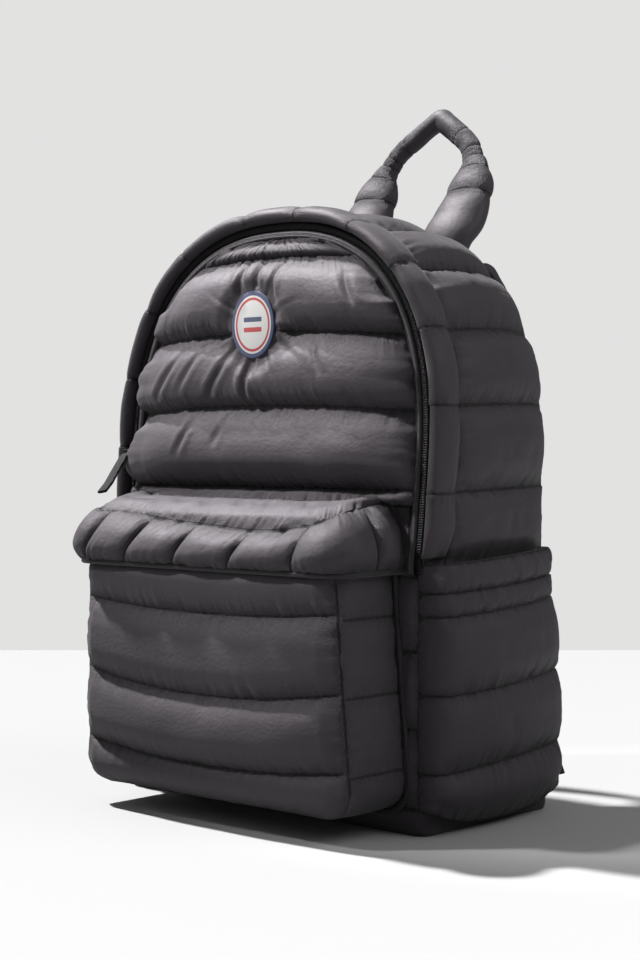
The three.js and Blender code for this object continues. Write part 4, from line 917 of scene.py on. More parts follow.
# Front panel. One quilted panel of the same nylon from the base to the top of the arch, with a
# crown. It is drawn down at the ends of its seams, and the patch puckers the cloth round it.
PANEL_EDGE_Y = -0.0712
PANEL_INSET = 0.0070
PANEL_CROWN = 0.012
PANEL_SEAMS = [0.2140, 0.2245, 0.2803, 0.3298, 0.3808, 0.3938]
PANEL_LOW_Z, PANEL_TOP_Z = 0.2239, 0.3938
PATCH_X, PATCH_Z = 0.008, 0.335
PATCH_HALF_X, PATCH_HALF_Z = 0.020, 0.023
PATCH_RISE = 0.0060
PATCH_CREASES = [
    # angle, length, strength
    (-2.9, 0.045, 1.0), (-2.45, 0.03, 0.7), (-2.0, 0.03, 0.6), (-1.55, 0.035, 1.0),
    (-1.05, 0.03, 0.8), (-0.5, 0.035, 0.8), (-0.12, 0.045, 1.0), (0.35, 0.03, 0.7),
    (1.0, 0.022, 0.6), (1.9, 0.022, 0.7), (2.6, 0.03, 0.8),
]
PANEL_FOLDS = [
    # from x, z, to x, z, depth
    (-0.062, 0.322, -0.092, 0.286, 0.0013), (-0.008, 0.323, -0.038, 0.283, 0.0015),
    (-0.040, 0.324, -0.066, 0.290, 0.0010), (0.006, 0.316, -0.001, 0.280, 0.0020),
    (-0.004, 0.380, -0.005, 0.352, 0.0020), (0.011, 0.381, 0.010, 0.353, 0.0018),
    (0.029, 0.380, 0.026, 0.352, 0.0014), (-0.070, 0.371, -0.088, 0.345, 0.0010),
    (0.082, 0.371, 0.098, 0.346, 0.0012), (-0.052, 0.274, -0.066, 0.246, 0.0012),
    (-0.020, 0.274, -0.030, 0.252, 0.0008), (0.060, 0.323, 0.072, 0.300, 0.0009),
]
panel_side_x, panel_side_z = arch_at(np.linspace(0, s_at(0.2), 1500), -PANEL_INSET, 0.0)


def half_width_at(z):
    return np.interp(-z, -panel_side_z, panel_side_x)


def patch_hold(x, z):
    """How firmly the patch holds the cloth: 1 under it and 0 beyond its rim."""
    radius = np.hypot((x - PATCH_X) / PATCH_HALF_X, (z - PATCH_Z) / PATCH_HALF_Z)
    t = ramp(radius, 1.65, -0.65)
    return t * t * (3 - 2 * t)


def panel_place(u, v, out):
    middling = ramp(v, PANEL_LOW_Z, PANEL_TOP_Z - PANEL_LOW_Z)
    droop = 0.006 * np.abs(u) ** 2.2 * np.sin(np.pi * middling) ** 0.5
    half = half_width_at(v - droop * 0.3)
    z = v - droop
    edge = 1 - np.abs(u)
    crown = PANEL_CROWN * (1 - (1 - ramp(edge * half, 0, 0.06)) ** 2)
    crown = crown * ramp(v, 0.218, 0.026) * ramp(v, 0.3945, -0.03) ** 0.6
    on_patch = patch_hold(u * half + lean_at(z), z)
    overhang = np.sin(np.pi * ramp(edge, 0, 0.13) ** 0.7) * ramp(out, 0, 0.008)
    low_left = ramp(z, 0.285, -0.05) * ramp(z, PANEL_LOW_Z, 0.01) * (u < 0)
    left = (u < 0) * ramp(z, 0.35, -0.04)
    half = half + overhang * (0.004 + 0.005 * left + 0.006 * low_left)
    y = PANEL_EDGE_Y - crown - out * (1 - on_patch) - PATCH_RISE * on_patch
    return np.stack([u * half + lean_at(z), y, z], -1)


def under_the_patch(u, v):
    place = panel_place(u, v, np.zeros_like(u))
    return patch_hold(place[..., 0], place[..., 2]) > 0.97


def panel_fullness(u, v):
    return ramp(1 - np.abs(u), 0, 0.12) ** 0.5 * np.where(v > 0.378, 0.45, 1.0)


def groove(across, width):
    return np.exp(-((across / width) ** 2))


def panel_creases(u, v):
    """Grooves that radiate from the patch, and folds that hang from the seams."""
    x = u * half_width_at(v) + lean_at(v) - PATCH_X
    z = v - PATCH_Z
    radius, angle = np.hypot(x, z), np.arctan2(z, x)
    depth = np.zeros_like(x)
    for centre, length, strength in PATCH_CREASES:
        across = radius * np.sin(angle - centre)
        ahead = radius * np.cos(angle - centre)
        fade = ramp(ahead, 0.017, 0.004) * np.clip(1 - (ahead - 0.02) / length, 0, 1)
        depth -= strength * 0.0012 * groove(across, 0.0016) * fade * (ahead > 0)
        depth += strength * 0.0008 * groove(across - 0.0035, 0.0022) * fade * (ahead > 0)
    for x0, z0, x1, z1, strength in PANEL_FOLDS:
        length = np.hypot(x1 - x0, z1 - z0)
        ax, az = (x1 - x0) / length, (z1 - z0) / length
        px, pz = x + PATCH_X - x0, z + PATCH_Z - z0
        ahead = (px * ax + pz * az) / length
        across = px * -az + pz * ax
        fade = np.sin(np.pi * np.clip(ahead, 0, 1)) ** 0.7
        depth -= strength * groove(across, 0.0022) * fade
        depth += 0.6 * strength * groove(np.abs(across) - 0.0055, 0.003) * fade
    return depth


front_panel = padded_panel(
    "front_panel_cloth", panel_place, np.linspace(-1, 1, 111), channelled(PANEL_SEAMS),
    PANEL_SEAMS, depth=0.0105, seed=21, shape=panel_fullness, wall=0.004, squareness=2.1,
    low=0.75, pressure=4.0, edge_gather=0.0017, extra=panel_creases, held_more=under_the_patch,
    slack=0.005, unevenness=0.00025, patch_size=40,
)
dressed(front_panel, nylon, "quilted_nylon", "front_panel", fill=0.6)

# Patch. A woven oval, 40 by 46 mm, with an edge of satin stitch, sewn over the panel's seam. It is
# left generic: a white ground, a navy and red rim, and two short bars.
PATCH_Y = PANEL_EDGE_Y - PANEL_CROWN - PATCH_RISE
PATCH_WHITE = (0.60, 0.595, 0.58, 1)
PATCH_NAVY, PATCH_RED = (0.030, 0.045, 0.12, 1), (0.42, 0.028, 0.035, 1)
bpy.ops.object.select_all(action="DESELECT")
bpy.ops.mesh.primitive_cylinder_add(
    vertices=96, radius=1, depth=0.0018, location=(PATCH_X, PATCH_Y - 0.0006, PATCH_Z),
    rotation=(np.pi / 2, 0, 0),
)
patch = bpy.context.object
patch.name = "badge_patch"
patch.scale = (PATCH_HALF_X, PATCH_HALF_Z, 1)
bpy.ops.object.transform_apply(location=True, rotation=True, scale=True)
bevelled(patch, 0.0007, 4, 30)
turned_out(patch)
patch.data.shade_smooth()


def patch_finish():
    material, tree, shader = new_material("patch")
    place = add_node(tree, "ShaderNodeTexCoord").outputs["Object"]
    centred = add_node(
        tree, "ShaderNodeMapping", i0=place,
        Location=(-PATCH_X / PATCH_HALF_X, 0, -PATCH_Z / PATCH_HALF_Z),
        Scale=(1 / PATCH_HALF_X, 0, 1 / PATCH_HALF_Z),
    ).outputs[0]
    from_middle = add_node(tree, "ShaderNodeVectorMath", {"operation": "LENGTH"}, i0=centred)
    radius = from_middle.outputs["Value"]
    parts = add_node(tree, "ShaderNodeSeparateXYZ", i0=centred).outputs
    short = maths(tree, "LESS_THAN", maths(tree, "ABSOLUTE", parts[0]), 0.42)

    def band(value, low, high):
        above = maths(tree, "GREATER_THAN", value, low)
        return maths(tree, "MULTIPLY", above, maths(tree, "LESS_THAN", value, high))

    def bar(low, high):
        return maths(tree, "MULTIPLY", band(parts[2], low, high), short)

    rim_band = band(radius, 0.86, 2.0)
    colour = PATCH_WHITE
    for mask, dye in (
        (bar(0.08, 0.22), PATCH_NAVY),
        (bar(-0.22, -0.08), PATCH_RED),
        (band(radius, 0.72, 0.80), PATCH_RED),
        (rim_band, PATCH_NAVY),
    ):
        colour = mixed(tree, mask, colour, dye)
    thread = waves(tree, place, "DIAGONAL", 900.0, 1.0)
    raised_rim = maths(tree, "MULTIPLY", rim_band, 1.2)
    height = maths(tree, "ADD", maths(tree, "MULTIPLY", thread, 0.35), raised_rim)
    varied = maths(tree, "MULTIPLY_ADD", thread, 0.2, 0.5)
    wired(tree, shader, colour, varied, height, 0.7, 0.0004)
    shader["Sheen Weight"].default_value = 0.2
    return material


dressed(patch, patch_finish(), "patch", "badge")

# Lower front. The same panel beneath the flap, of the same nylon: flat behind the pocket, and
# padded where it shows as a strip on each side of it.
LOWER_SEAMS = [0.0186, 0.070, 0.120, 0.168, 0.2139]
LOWER_HALF = 0.1385


def lower_place(u, v, out):
    narrower = 1 - 0.058 * ramp(v, 0.166, 0.008)
    return np.stack([u * narrower, np.full_like(u, PANEL_EDGE_Y) - out, v], -1)


def beside_pocket(u, v):
    inside = 0.119 + 0.007 * ramp(v, 0.19, -0.17)
    strip = ramp(np.abs(u), inside, 0.003) * ramp(np.abs(u), LOWER_HALF, -0.004)
    return strip * (v < 0.168)


lower_front = padded_panel(
    "lower_front_cloth", lower_place, channelled([-LOWER_HALF, -0.118, 0.118, LOWER_HALF]),
    channelled(LOWER_SEAMS), LOWER_SEAMS, depth=0.0035, seed=22, shape=beside_pocket,
    wall=0.001, held_more=lambda u, v: beside_pocket(u, v) < 0.05,
)
dressed(lower_front, nylon, "quilted_nylon", "front_panel", fill=0.3)

# Front pocket. A quilted front of the same nylon with sagging seams, and a gusset round its sides
# and bottom whose seams meet them. It is sewn to the panel behind.
POCKET_BOTTOM_Z, POCKET_MOUTH_Z = 0.017, 0.196
POCKET_FRONT_Y = -0.128
POCKET_SEAMS = [0.017, 0.0475, 0.097, 0.1465, 0.196]
POCKET_CORNER, POCKET_CORNER_Z = 0.020, 0.037
POCKET_GUSSET_FRONT_Y, POCKET_GUSSET_BACK_Y = -0.1278, -0.0718


def pocket_drop(z):
    return ramp(z, POCKET_MOUTH_Z, POCKET_BOTTOM_Z - POCKET_MOUTH_Z)


def pocket_half(z):
    return 0.1145 + 0.0095 * pocket_drop(z) ** 0.8


def pocket_sag(z):
    return 0.007 * pocket_drop(z) ** 2


def pocket_place(u, v, out):
    sagging = np.sin(np.pi * ramp(v, POCKET_BOTTOM_Z, 0.15)) ** 0.7
    z = v - 0.010 * (1 - np.abs(u) ** 2) * sagging
    corner = ramp(z, POCKET_CORNER_Z, -POCKET_CORNER)
    half = pocket_half(z) - POCKET_CORNER * (1 - np.sqrt(np.clip(1 - corner**2, 0, 1)))
    crown = (0.004 + 0.006 * ramp(v, 0.14, -0.07)) * (1 - np.abs(u) ** 3)
    crown = crown * ramp(v, POCKET_BOTTOM_Z, 0.05) ** 0.7 * ramp(v, 0.178, -0.02)
    return np.stack([u * half + pocket_sag(z), POCKET_FRONT_Y - crown - out, z], -1)


pocket_front = padded_panel(
    "pocket_front_cloth", pocket_place, np.linspace(-1, 1, 97), channelled(POCKET_SEAMS),
    POCKET_SEAMS, depth=0.0075, seed=31,
    shape=lambda u, v: ramp(1 - np.abs(u), 0, 0.1) ** 0.5 * ramp(v, 0.185, -0.02),
    wall=0.005, gather=0.0004, slack=0.003, pressure=5.0, unevenness=0.0002, patch_size=60,
)
dressed(pocket_front, nylon, "quilted_nylon", "pocket_front", fill=0.6)

side_z = np.linspace(POCKET_MOUTH_Z, POCKET_CORNER_Z, 60)
turn = np.linspace(0, np.pi / 2, 24)[1:]
corner_x = pocket_half(POCKET_CORNER_Z) - POCKET_CORNER + POCKET_CORNER * np.cos(turn)
right_path = np.concatenate(
    [
        np.stack([pocket_half(side_z) + pocket_sag(side_z), side_z], 1),
        np.stack([corner_x + pocket_sag(0.03), POCKET_CORNER_Z - POCKET_CORNER * np.sin(turn)], 1),
    ]
)
sag_right = np.stack([2 * pocket_sag(right_path[:, 1]), 0 * right_path[:, 1]], 1)
left_path = right_path * [-1, 1] + sag_right
pocket_path = np.concatenate([left_path, right_path[::-1]])
pocket_run = length_along(pocket_path)
POCKET_ROUND = pocket_run[-1]
left_seams = [
    np.interp(-z, -left_path[:, 1], pocket_run[: len(left_path)]) for z in (0.1425, 0.093, 0.0435)
]
pocket_gusset_seams = [0, *left_seams, *[POCKET_ROUND - s for s in left_seams[::-1]], POCKET_ROUND]


def on_outline(run, path, at, near):
    """Points of an outline, and the way out of it at each."""
    first, second = (np.interp(at, run, path[:, k]) for k in (0, 1))
    t1, t2 = (
        np.interp(at + near, run, path[:, k]) - np.interp(at - near, run, path[:, k])
        for k in (0, 1)
    )
    length = np.hypot(t1, t2) + 1e-12
    return first, second, t2 / length, -t1 / length


def pocket_gusset_place(u, v, out):
    x, z, nx, nz = on_outline(pocket_run, pocket_path, v, 0.003)
    return np.stack([x + nx * out, u, z + nz * out], -1)


def pocket_gusset_fullness(u, v):
    on_side = np.minimum(v, POCKET_ROUND - v) < 0.16
    return puff((u - POCKET_GUSSET_FRONT_Y) / 0.056, 3) * (0.4 + 0.6 * on_side)


pocket_gusset = padded_panel(
    "pocket_gusset_cloth", pocket_gusset_place,
    np.linspace(POCKET_GUSSET_FRONT_Y, POCKET_GUSSET_BACK_Y, 23),
    channelled(pocket_gusset_seams), pocket_gusset_seams, depth=0.0035, seed=32,
    shape=pocket_gusset_fullness, wall=0.005, slack=0.003, pressure=3.0, unevenness=0.0001,
    patch_size=40,
)
dressed(pocket_gusset, nylon, "quilted_nylon", "pocket_gusset", fill=0.4)

# Flap. The quilted lid of the pocket, of the same nylon, sewn to the panel behind. It has a puff
# along its top, a curved seam on its ridge and slanted stitched lines down its front.
FLAP_HALF, FLAP_CORNER = 0.1255, 0.020
FLAP_BACK_Y, FLAP_FRONT_Y = -0.0715, -0.1375
FLAP_SEAM_Z, FLAP_RIDGE_Z, FLAP_BOTTOM_Z = 0.2175, 0.206, 0.172
FLAP_WALL_HEIGHT = FLAP_RIDGE_Z - FLAP_BOTTOM_Z
FLAP_OVER = 0.067  # from the ridge back over the top to the seam
FLAP_TOP_SEAMS = [0, FLAP_WALL_HEIGHT, FLAP_WALL_HEIGHT + 0.044, FLAP_WALL_HEIGHT + FLAP_OVER]
FLAP_BOW = (  # how far the ridge's seam climbs, dips in the middle and climbs at the corners
    [-0.18, -0.125, -0.097, -0.05, 0.005, 0.04, 0.068, 0.095, 0.121, 0.18],
    [0.0, 0.002, 0.002, -0.004, -0.007, -0.009, -0.008, -0.004, 0.003, 0.0],
)
flap_turn = np.linspace(0, np.pi / 2, 20)[1:]
flap_side = np.linspace(FLAP_BACK_Y, FLAP_FRONT_Y + FLAP_CORNER, 30)
flap_corner = [
    FLAP_HALF - FLAP_CORNER + FLAP_CORNER * np.cos(flap_turn),
    FLAP_FRONT_Y + FLAP_CORNER - FLAP_CORNER * np.sin(flap_turn),
]
flap_right = np.concatenate(
    [np.stack([np.full(30, FLAP_HALF), flap_side], 1), np.stack(flap_corner, 1)]
)
flap_path = np.concatenate([flap_right * [-1, 1], flap_right[::-1]])
flap_run = length_along(flap_path)
FLAP_ROUND = flap_run[-1]
FLAP_MIDDLE = FLAP_ROUND / 2
flap_columns = [
    0, 0.0286, *[FLAP_MIDDLE + x for x in (-0.103, -0.059, -0.011, 0.042, 0.092)],
    FLAP_ROUND - 0.0286, FLAP_ROUND,
]


def flap_place(u, v, out):
    bow = np.interp(u - FLAP_MIDDLE, *FLAP_BOW)
    bow = bow * np.sin(np.pi / 2 * ramp(v, 0, FLAP_WALL_HEIGHT))
    v = v + bow * np.clip(1 - (v - FLAP_WALL_HEIGHT) / 0.055, 0, 1)
    rise = ramp(v, 0, FLAP_WALL_HEIGHT)
    over = ramp(v, FLAP_WALL_HEIGHT, FLAP_OVER)
    front = ramp(u, 0.06, 0.03) * np.clip((FLAP_ROUND - 0.06 - u) / 0.03, 0, 1)
    slant = 0.024 - 0.016 * np.clip((u - FLAP_MIDDLE - 0.06) / 0.03, 0, 1)
    slanted = u + front * slant * (rise - 0.5) * (1 - over)
    x, y, nx, ny = on_outline(flap_run, flap_path, slanted, 0.006)
    forward = (FLAP_BACK_Y - y) / (FLAP_BACK_Y - FLAP_FRONT_Y)
    ridge = FLAP_SEAM_Z + (FLAP_RIDGE_Z - FLAP_SEAM_Z) * forward
    z = FLAP_BOTTOM_Z + (ridge - FLAP_BOTTOM_Z) * rise
    roll = ramp(rise, 0.25, 0.75) ** 1.5 * 0.011
    seam_x = (2 * u / FLAP_ROUND - 1) * (FLAP_HALF - FLAP_CORNER / 2)
    x, y = x - nx * roll, y - ny * roll
    x, y = x + (seam_x - x) * over, y + (FLAP_BACK_Y - y) * over
    z = z + (FLAP_SEAM_Z - 0.002 - z) * ramp(over, 0, 0.8) + 0.0065 * ramp(over, 0.8, 0.2)
    hump = 0.0015 * np.sin(np.pi * np.clip(over, 0, 1)) * np.clip(forward * 2, 0, 1)
    tilt = np.clip((v - FLAP_WALL_HEIGHT + 0.012) / 0.024, 0, 1)
    free = np.clip(forward * 4, 0, 1)
    x, y = x + nx * out * (1 - tilt) * free, y + ny * out * (1 - tilt) * free
    return np.stack([x, y, z + hump + out * tilt * free], -1)


def flap_fullness(u, v):
    front = (v < FLAP_TOP_SEAMS[1]).astype(float)
    lines = 0.30 + 0.70 * puff(channel_share(u, flap_columns), 3.0) ** 0.6
    ends = ramp(np.minimum(u, FLAP_ROUND - u), 0, 0.006)
    return (front * lines + (1 - front) * 0.5) * ends


def flap_lines(u, v):
    on_line = seam_distance(u, flap_columns[1:-1]) < ON_SEAM
    return on_line & (v < FLAP_TOP_SEAMS[1] + ON_SEAM)


flap = padded_panel(
    "flap_cloth", flap_place, channelled(flap_columns), channelled(FLAP_TOP_SEAMS),
    FLAP_TOP_SEAMS, depth=0.0085, seed=41, shape=flap_fullness, wall=0.003, squareness=3.0,
    held_more=flap_lines, gather=0.0006, slack=0.005, unevenness=0.0001,
    along_u=flap_columns[1:-1], line_end=FLAP_WALL_HEIGHT,
)
dressed(flap, nylon, "quilted_nylon", "pocket_flap", fill=0.5)

# Piping. Black corded binding with a rib every 2.4 mm, sewn along the flap's lower edge and where
# the pocket meets the bag.
CORD_RIB, CORD_SIDES = 0.0024, 12
FLAP_CORD_RADIUS, POCKET_CORD_RADIUS = 0.0018, 0.0017
binding = cloth_material(
    "binding", (0.012, 0.011, 0.012, 1), (0.020, 0.019, 0.021, 1), 0.62, 0.3, 0.5, 0.0008, 0.3
)


def cord_along(name, path, radius):
    """A round cord along a line of points."""
    run = length_along(path)
    steps = np.linspace(0, run[-1], int(run[-1] / (CORD_RIB / 2)))
    line = np.stack([np.interp(steps, run, path[:, k]) for k in range(3)], 1)
    along = unit(np.gradient(line, axis=0))
    first = unit(np.cross(along, np.array([0.31, -0.9, 0.3])))
    second = np.cross(along, first)
    angle = np.linspace(0, 2 * np.pi, CORD_SIDES, endpoint=False)
    ribbed = radius * (1 + 0.05 * np.cos(2 * np.pi * steps / CORD_RIB))[:, None, None]
    ring = np.cos(angle)[:, None] * first[:, None] + np.sin(angle)[:, None] * second[:, None]
    points = line[:, None] + ring * ribbed
    shape = points.shape[:2]
    lengthwise, around = (np.broadcast_to(a, shape) for a in (steps[:, None], angle * radius))
    return closed_wall(name, points, None, lengthwise, around, np.full(shape, 0.01), True)


flap_edge_z = np.full(len(flap_path), FLAP_BOTTOM_Z - 0.0005)
flap_edge = np.column_stack([flap_path, flap_edge_z])
flap_cord = cord_along("flap_cord", flap_edge, FLAP_CORD_RADIUS)
dressed(flap_cord, binding, "binding", "flap_piping")
pocket_seam = pocket_path[(pocket_path[:, 1] < 0.170)]
seam_way = unit(np.gradient(pocket_seam, axis=0))
pocket_seam = pocket_seam + np.stack([seam_way[:, 1], -seam_way[:, 0]], 1) * 0.0036
pocket_seam_y = np.full(len(pocket_seam), -0.0740)
pocket_edge = np.stack([pocket_seam[:, 0], pocket_seam_y, pocket_seam[:, 1]], 1)
pocket_cord = cord_along("pocket_cord", pocket_edge, POCKET_CORD_RADIUS)
dressed(pocket_cord, binding, "binding", "pocket_piping")

# Side pockets. A quilted wall of the same nylon on each side, sewn in front, behind and below. It
# is open at the top, with a stuffed hem and a gathered band under it.
SIDE_POCKET_INNER_X = 0.1438
SIDE_POCKET_HEIGHT = 0.173
SIDE_POCKET_EDGES = [0, 0.2, 0.5, 0.8, 0.89, 1.0]
side_edges = [share * SIDE_POCKET_HEIGHT for share in SIDE_POCKET_EDGES]


def side_pocket_maker(way):
    def place(u, v, out):
        share = v / SIDE_POCKET_HEIGHT
        floor_z = 0.005 + 0.012 * np.abs(2 * u - 1) ** 2.5
        first_seam = 0.0415 + 0.0085 * u
        top_z = 0.1765 + 0.006 * u
        below = floor_z + (first_seam - floor_z) * share / 0.2
        above = first_seam + (top_z - first_seam) * (share - 0.2) / 0.8
        z = np.where(share < 0.2, below, above)
        hump = np.sin(np.pi * np.clip(u, 0, 1)) ** 0.45
        full = np.sin(np.pi * (0.1 + 0.6 * share)) ** 1.2
        bulge = 0.018 * full * hump * (1.0 - 0.10 * u)
        tuck = np.clip(1 - share / 0.1, 0, 1) * 0.006
        turn_in = 1 - np.sqrt(np.clip(1 - np.clip(1 - u / 0.07, 0, 1) ** 2, 0, 1))
        out = np.where(out < 0, out * np.clip(u / 0.1, 0.1, 1), out)
        x = SIDE_POCKET_INNER_X - taper_at(z) * u + np.clip(bulge - tuck, 0, None)
        x = x + 0.0055 - 0.0115 * turn_in
        y = -0.0718 + 0.1398 * u
        return np.stack([way * (x + out), y - out * 0.6 * np.cos(np.pi * u), z], -1)

    return place


def side_pocket_fullness(u, v):
    band = np.where(v > side_edges[3], 0.5, 1.0)
    hem = np.where(v > side_edges[4], 1.3, 1.0)
    return puff(u, 8) * band * hem


for way, label, seed in ((1, "right", 51), (-1, "left", 52)):
    side_pocket = padded_panel(
        f"side_pocket_{label}_cloth", side_pocket_maker(way), np.linspace(0, 1, 56),
        channelled(side_edges), side_edges, depth=0.006, seed=seed, shape=side_pocket_fullness,
        wall=0.005, gather=0.0006, slack=0.004, squareness=3.0, unevenness=0.0001,
    )
    dressed(side_pocket, nylon, "quilted_nylon", f"side_pocket_{label}", fill=0.6)

# Base. A tray of plain nylon on a stiff board, turned up round the foot of the bag and stitched
# near its top edge.
BASE_HALF, BASE_DEPTH_HALF, BASE_CORNER = 0.142, 0.070, 0.010
BASE_STITCH_Z = 0.0165
BASE_LEVELS = [
    # height, inset
    (0.0, 0.0030), (0.0004, 0.0019), (0.0014, 0.0008), (0.004, 0.0002), (0.012, 0.0),
    (0.0165, 0.0), (0.018, 0.0008), (0.018, 0.004), (0.004, 0.007),
]


def tray_ring(inset, z, steps=12):
    corner = BASE_CORNER - inset
    quarters = (0, np.pi / 2, np.pi, 1.5 * np.pi)
    angle = np.concatenate([np.linspace(q, q + np.pi / 2, steps) for q in quarters])
    sx = np.repeat([1, -1, -1, 1], steps)
    sy = np.repeat([1, 1, -1, -1], steps)
    x = sx * (BASE_HALF - inset - corner) + corner * np.cos(angle)
    y = sy * (BASE_DEPTH_HALF - inset - corner) + corner * np.sin(angle)
    return np.stack([x, y, np.full_like(x, z)], 1)


tray = np.stack([tray_ring(inset, z) for z, inset in BASE_LEVELS])
tray_along = np.cumsum(np.linalg.norm(np.roll(tray, -1, 1) - tray, axis=-1), axis=1)
tray_seam = seam_distance(tray[..., 2], [BASE_STITCH_Z]) + 0.001
base = closed_wall("base_cloth", tray, None, tray_along, tray[..., 2], tray_seam, True)
for polygon in base.data.polygons:
    polygon.use_smooth = len(polygon.vertices) == 4
dressed(base, nylon, "quilted_nylon", "base", fill=0.2)

# Back panel. A plain padded panel of the same nylon that lies on the wearer's back, stitched
# across and round its border.
BACK_FACE_Y = 0.0730
BACK_SEAMS = [0.0186, 0.030, 0.120, 0.215, 0.305, 0.382, 0.3938]


def back_half_at(z):
    x, height = arch_at(np.linspace(0.004, GUSSET_END_S, 600), GUSSET_OUT, 0.0)
    return np.interp(-z, -height, x - taper_at(height)) - 0.0050


def back_place(u, v, out):
    half = back_half_at(v)
    edge = np.minimum((1 - np.abs(u)) * half, np.minimum(v - 0.0183, 0.3945 - v))
    rolled = 0.004 * (1 - ramp(edge, 0, 0.006)) ** 2
    return np.stack([u * half, BACK_FACE_Y - rolled + out, v], -1)


back_panel = padded_panel(
    "back_panel_cloth", back_place, np.linspace(-1, 1, 81), channelled(BACK_SEAMS, 0.0036),
    BACK_SEAMS, depth=0.004, seed=61, shape=lambda u, v: ramp(1 - np.abs(u), 0, 0.1),
    wall=0.0148, gather=0.0004, pressure=1.5, slack=0.006,
)
dressed(back_panel, nylon, "quilted_nylon", "back_panel", fill=0.4)

# Carry handle. A stuffed loop of the same nylon, sewn into the top seam: two fat legs of two puffs
# each, and a thin creased grip that folds at its top.
HANDLE_TABLE = np.array(
    # rise, spread, lean, fullness, grip
    [
        [-0.1, 1.0, 0.0, 0.85, 0.0], [0.0, 1.0, 0.04, 0.93, 0.0], [0.08, 1.0, 0.1, 1.0, 0.0],
        [0.2, 1.02, 0.3, 1.05, 0.0], [0.36, 1.02, 0.5, 1.0, 0.05], [0.47, 1.01, 0.61, 0.94, 0.16],
        [0.55, 0.985, 0.68, 0.88, 0.38], [0.60, 0.965, 0.72, 0.88, 0.62],
        [0.66, 0.9, 0.775, 0.86, 0.9], [0.74, 0.8, 0.83, 0.86, 1.0], [0.87, 0.43, 0.92, 0.86, 1.0],
        [0.95, 0.15, 0.97, 0.88, 1.0], [0.985, 0.0, 1.0, 0.9, 1.0],
    ]
)
HANDLE_HALF_SPREAD = 0.045
HANDLE_FOOT_Y, HANDLE_FOOT_Z = 0.070, 0.395
HANDLE_LEAN, HANDLE_RISE = 0.054, 0.108
LEG_WIDE, LEG_THICK = 0.043, 0.023
GRIP_WIDE, GRIP_THICK = 0.018, 0.014
HANDLE_SIDES = 28
rise, spread, lean, fullness, grip = HANDLE_TABLE.T
handle_rows = np.column_stack(
    [
        HANDLE_HALF_SPREAD * spread,
        HANDLE_FOOT_Y + HANDLE_LEAN * lean,
        HANDLE_FOOT_Z + HANDLE_RISE * rise,
        fullness * (LEG_WIDE + (GRIP_WIDE - LEG_WIDE) * grip),
        fullness * (LEG_THICK + (GRIP_THICK - LEG_THICK) * grip),
    ]
)
handle_all = np.concatenate([handle_rows, (handle_rows * [-1, 1, 1, 1, 1])[-2::-1]])
handle_run = length_along(handle_all[:, :3])
HANDLE_LENGTH = handle_run[-1]
handle_slope = np.array([0.0, HANDLE_LEAN, HANDLE_RISE]) / np.hypot(HANDLE_LEAN, HANDLE_RISE)
handle_face = np.array([0.0, -handle_slope[2], handle_slope[1]])


def smooth_at(run, table, wanted):
    """Catmull-Rom through a table of values at uneven steps."""
    wanted = np.clip(wanted, run[0], run[-1])
    i = np.clip(np.searchsorted(run, wanted, "right") - 1, 0, len(run) - 2)
    t = ((wanted - run[i]) / (run[i + 1] - run[i]))[..., None]
    slope = np.gradient(table, run, axis=0)
    h = (run[i + 1] - run[i])[..., None]
    a, b = table[i], table[i + 1]
    return (
        (2 * t**3 - 3 * t**2 + 1) * a + (t**3 - 2 * t**2 + t) * h * slope[i]
        + (-2 * t**3 + 3 * t**2) * b + (t**3 - t**2) * h * slope[i + 1]
    )


def on_spine(run, table, v):
    """A stuffed band's place, width and thickness at v, and the way that it runs there."""
    ahead = smooth_at(run, table[:, :3], v + 0.002) - smooth_at(run, table[:, :3], v - 0.002)
    return smooth_at(run, table, v), unit(ahead)


def up_the_handle(*rises):
    return [float(np.interp(r, rise, handle_run[: len(HANDLE_TABLE)])) for r in rises]


handle_seams = [0, *up_the_handle(0.389, 0.574)]
handle_seams = handle_seams + [HANDLE_LENGTH - s for s in handle_seams[::-1]]
# The grip's creases are pinched in and darkened with painted shade.
handle_creases = up_the_handle(0.645, 0.72, 0.82)
handle_creases = handle_creases + [HANDLE_LENGTH - s for s in handle_creases]


def handle_place(u, v, out):
    values, ahead = on_spine(handle_run, handle_all, v)
    wide = unit(np.cross(handle_face, ahead))
    normal = np.cross(ahead, wide)
    angle = 2 * np.pi * u / HANDLE_SIDES
    pinch = 0.95 + 0.05 * puff(channel_share(v, handle_seams), 2.6)
    w, t = (values[..., k] / 2 * pinch + out for k in (3, 4))
    sideways = wide * (np.cos(angle) * w)[..., None]
    return values[..., :3] + sideways + normal * (np.sin(angle) * t)[..., None]


handle = tube_panel(
    "handle_cloth", handle_place, HANDLE_SIDES, channelled(handle_seams, 0.0022), handle_seams,
    0.0006, 71, slack=0.003, gather=0.0003, reach=0.005, pressure=1.0, creases=handle_creases,
    unevenness=0.0001,
)
dressed(handle, nylon, "quilted_nylon", "carry_handle", fill=0.8)

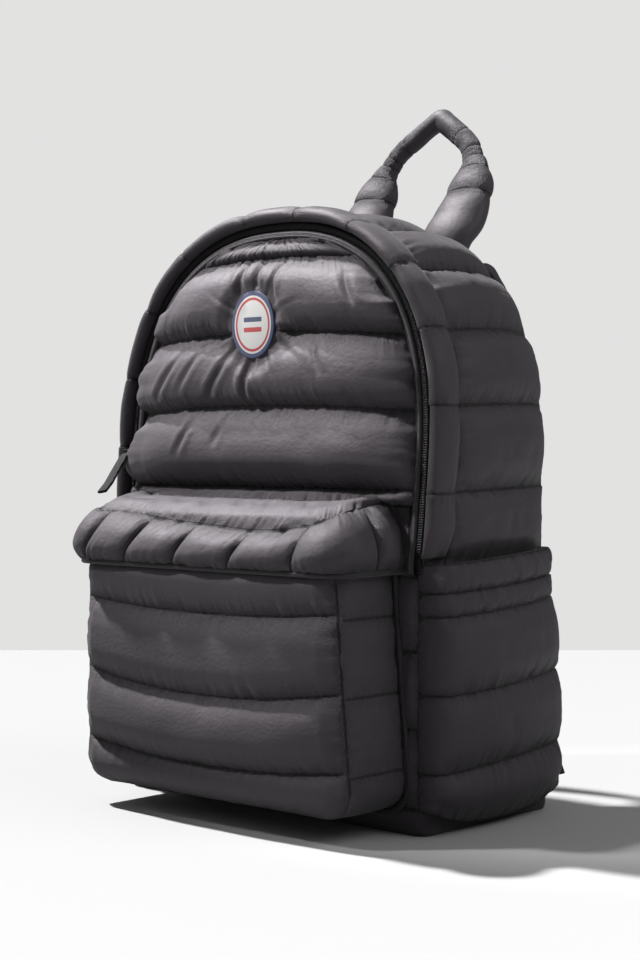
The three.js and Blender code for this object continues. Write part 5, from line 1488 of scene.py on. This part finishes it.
# Shoulder straps. Padded bands of the same nylon, sewn to the back near the top and arching out
# and down. Each ends in a buckle that webbing runs from, to a sewn tab at the bag's corner.
STRAP_TABLE = np.array(
    # drop, spread, reach, fullness
    [
        [0, 0, 0, 0.6], [-0.05, 0.02, 0.3, 0.9], [-0.06, 0.05, 0.6, 1], [0.0, 0.11, 0.85, 1],
        [0.13, 0.27, 0.97, 1], [0.4, 0.62, 0.92, 1], [0.7, 0.88, 0.62, 1], [0.93, 0.99, 0.36, 0.85],
        [1, 1, 0.3, 0.55],
    ]
)
STRAP_TOP = np.array([0.036, 0.0793, 0.368])
STRAP_SPREAD, STRAP_REACH, STRAP_DROP = 0.052, 0.036, 0.210
STRAP_WIDE, STRAP_THICK = 0.053, 0.012
STRAP_SIDES, STRAP_SQUARENESS = 36, 0.62
drop, strap_spread, reach, strap_fullness = STRAP_TABLE.T
strap_all = np.column_stack(
    [
        STRAP_TOP[0] + STRAP_SPREAD * strap_spread,
        STRAP_TOP[1] + STRAP_REACH * reach,
        STRAP_TOP[2] - STRAP_DROP * drop,
        STRAP_WIDE * np.sqrt(strap_fullness),
        STRAP_THICK * strap_fullness,
    ]
)
strap_run = length_along(strap_all[:, :3])
strap_seams = [0, 0.012, strap_run[-1] - 0.014, strap_run[-1]]


def squared(value):
    return np.sign(value) * np.abs(value) ** STRAP_SQUARENESS


def strap_maker(way):
    def place(u, v, out):
        values, ahead = on_spine(strap_run, strap_all, v)
        wide = unit(np.array([1.0, 0, 0]) - ahead * ahead[..., :1])
        normal = np.cross(ahead, wide)
        angle = 2 * np.pi * u / STRAP_SIDES
        w, t = values[..., 3] / 2, values[..., 4] / 2 + out
        sideways = wide * (squared(np.cos(angle)) * w)[..., None]
        point = values[..., :3] + sideways + normal * (squared(np.sin(angle)) * t)[..., None]
        return point * [way, 1, 1]

    return place


for way, label in ((1, "right"), (-1, "left")):
    strap = tube_panel(
        f"shoulder_strap_{label}_cloth", strap_maker(way), STRAP_SIDES,
        channelled(strap_seams, 0.004), strap_seams, 0.0008, 80 + way, slack=0.006, pressure=1.5,
    )
    dressed(strap, nylon, "quilted_nylon", f"shoulder_strap_{label}", fill=0.5)

# Webbing and tabs. Flat black webbing with a rib every 2 mm runs from each strap to a sewn
# triangle of cloth at the bag's corner.
# Its second colour is the painted light on the crests of its ribs.
tab_cloth = ribbed_finish(
    "tab_cloth", (0.026, 0.023, 0.026, 1), (0.045, 0.040, 0.046, 1), 480.0, 0.62, 0.0002
)
for label in ("right", "left"):
    strap_piece = f"strap_webbing_{label}"
    trimmed(strap_piece, f"{strap_piece}_weave", 0.0004, webbing, "webbing")
    trimmed(f"strap_tab_{label}", f"strap_tab_{label}_cloth", 0.0008, tab_cloth, "quilted_nylon")

# Buckles. A moulded adjuster of black plastic, with a fine spark grain, joins each strap to its
# webbing, which is threaded through it.
buckle_plastic = hard_finish(
    "buckle_plastic", (0.013, 0.013, 0.014, 1), (0.022, 0.022, 0.023, 1), 0.5, 1400.0, 0.4
)
for label in ("right", "left"):
    buckle = f"strap_buckle_{label}"
    trimmed(buckle, f"{buckle}_moulded", 0.0007, buckle_plastic, "buckle_plastic")
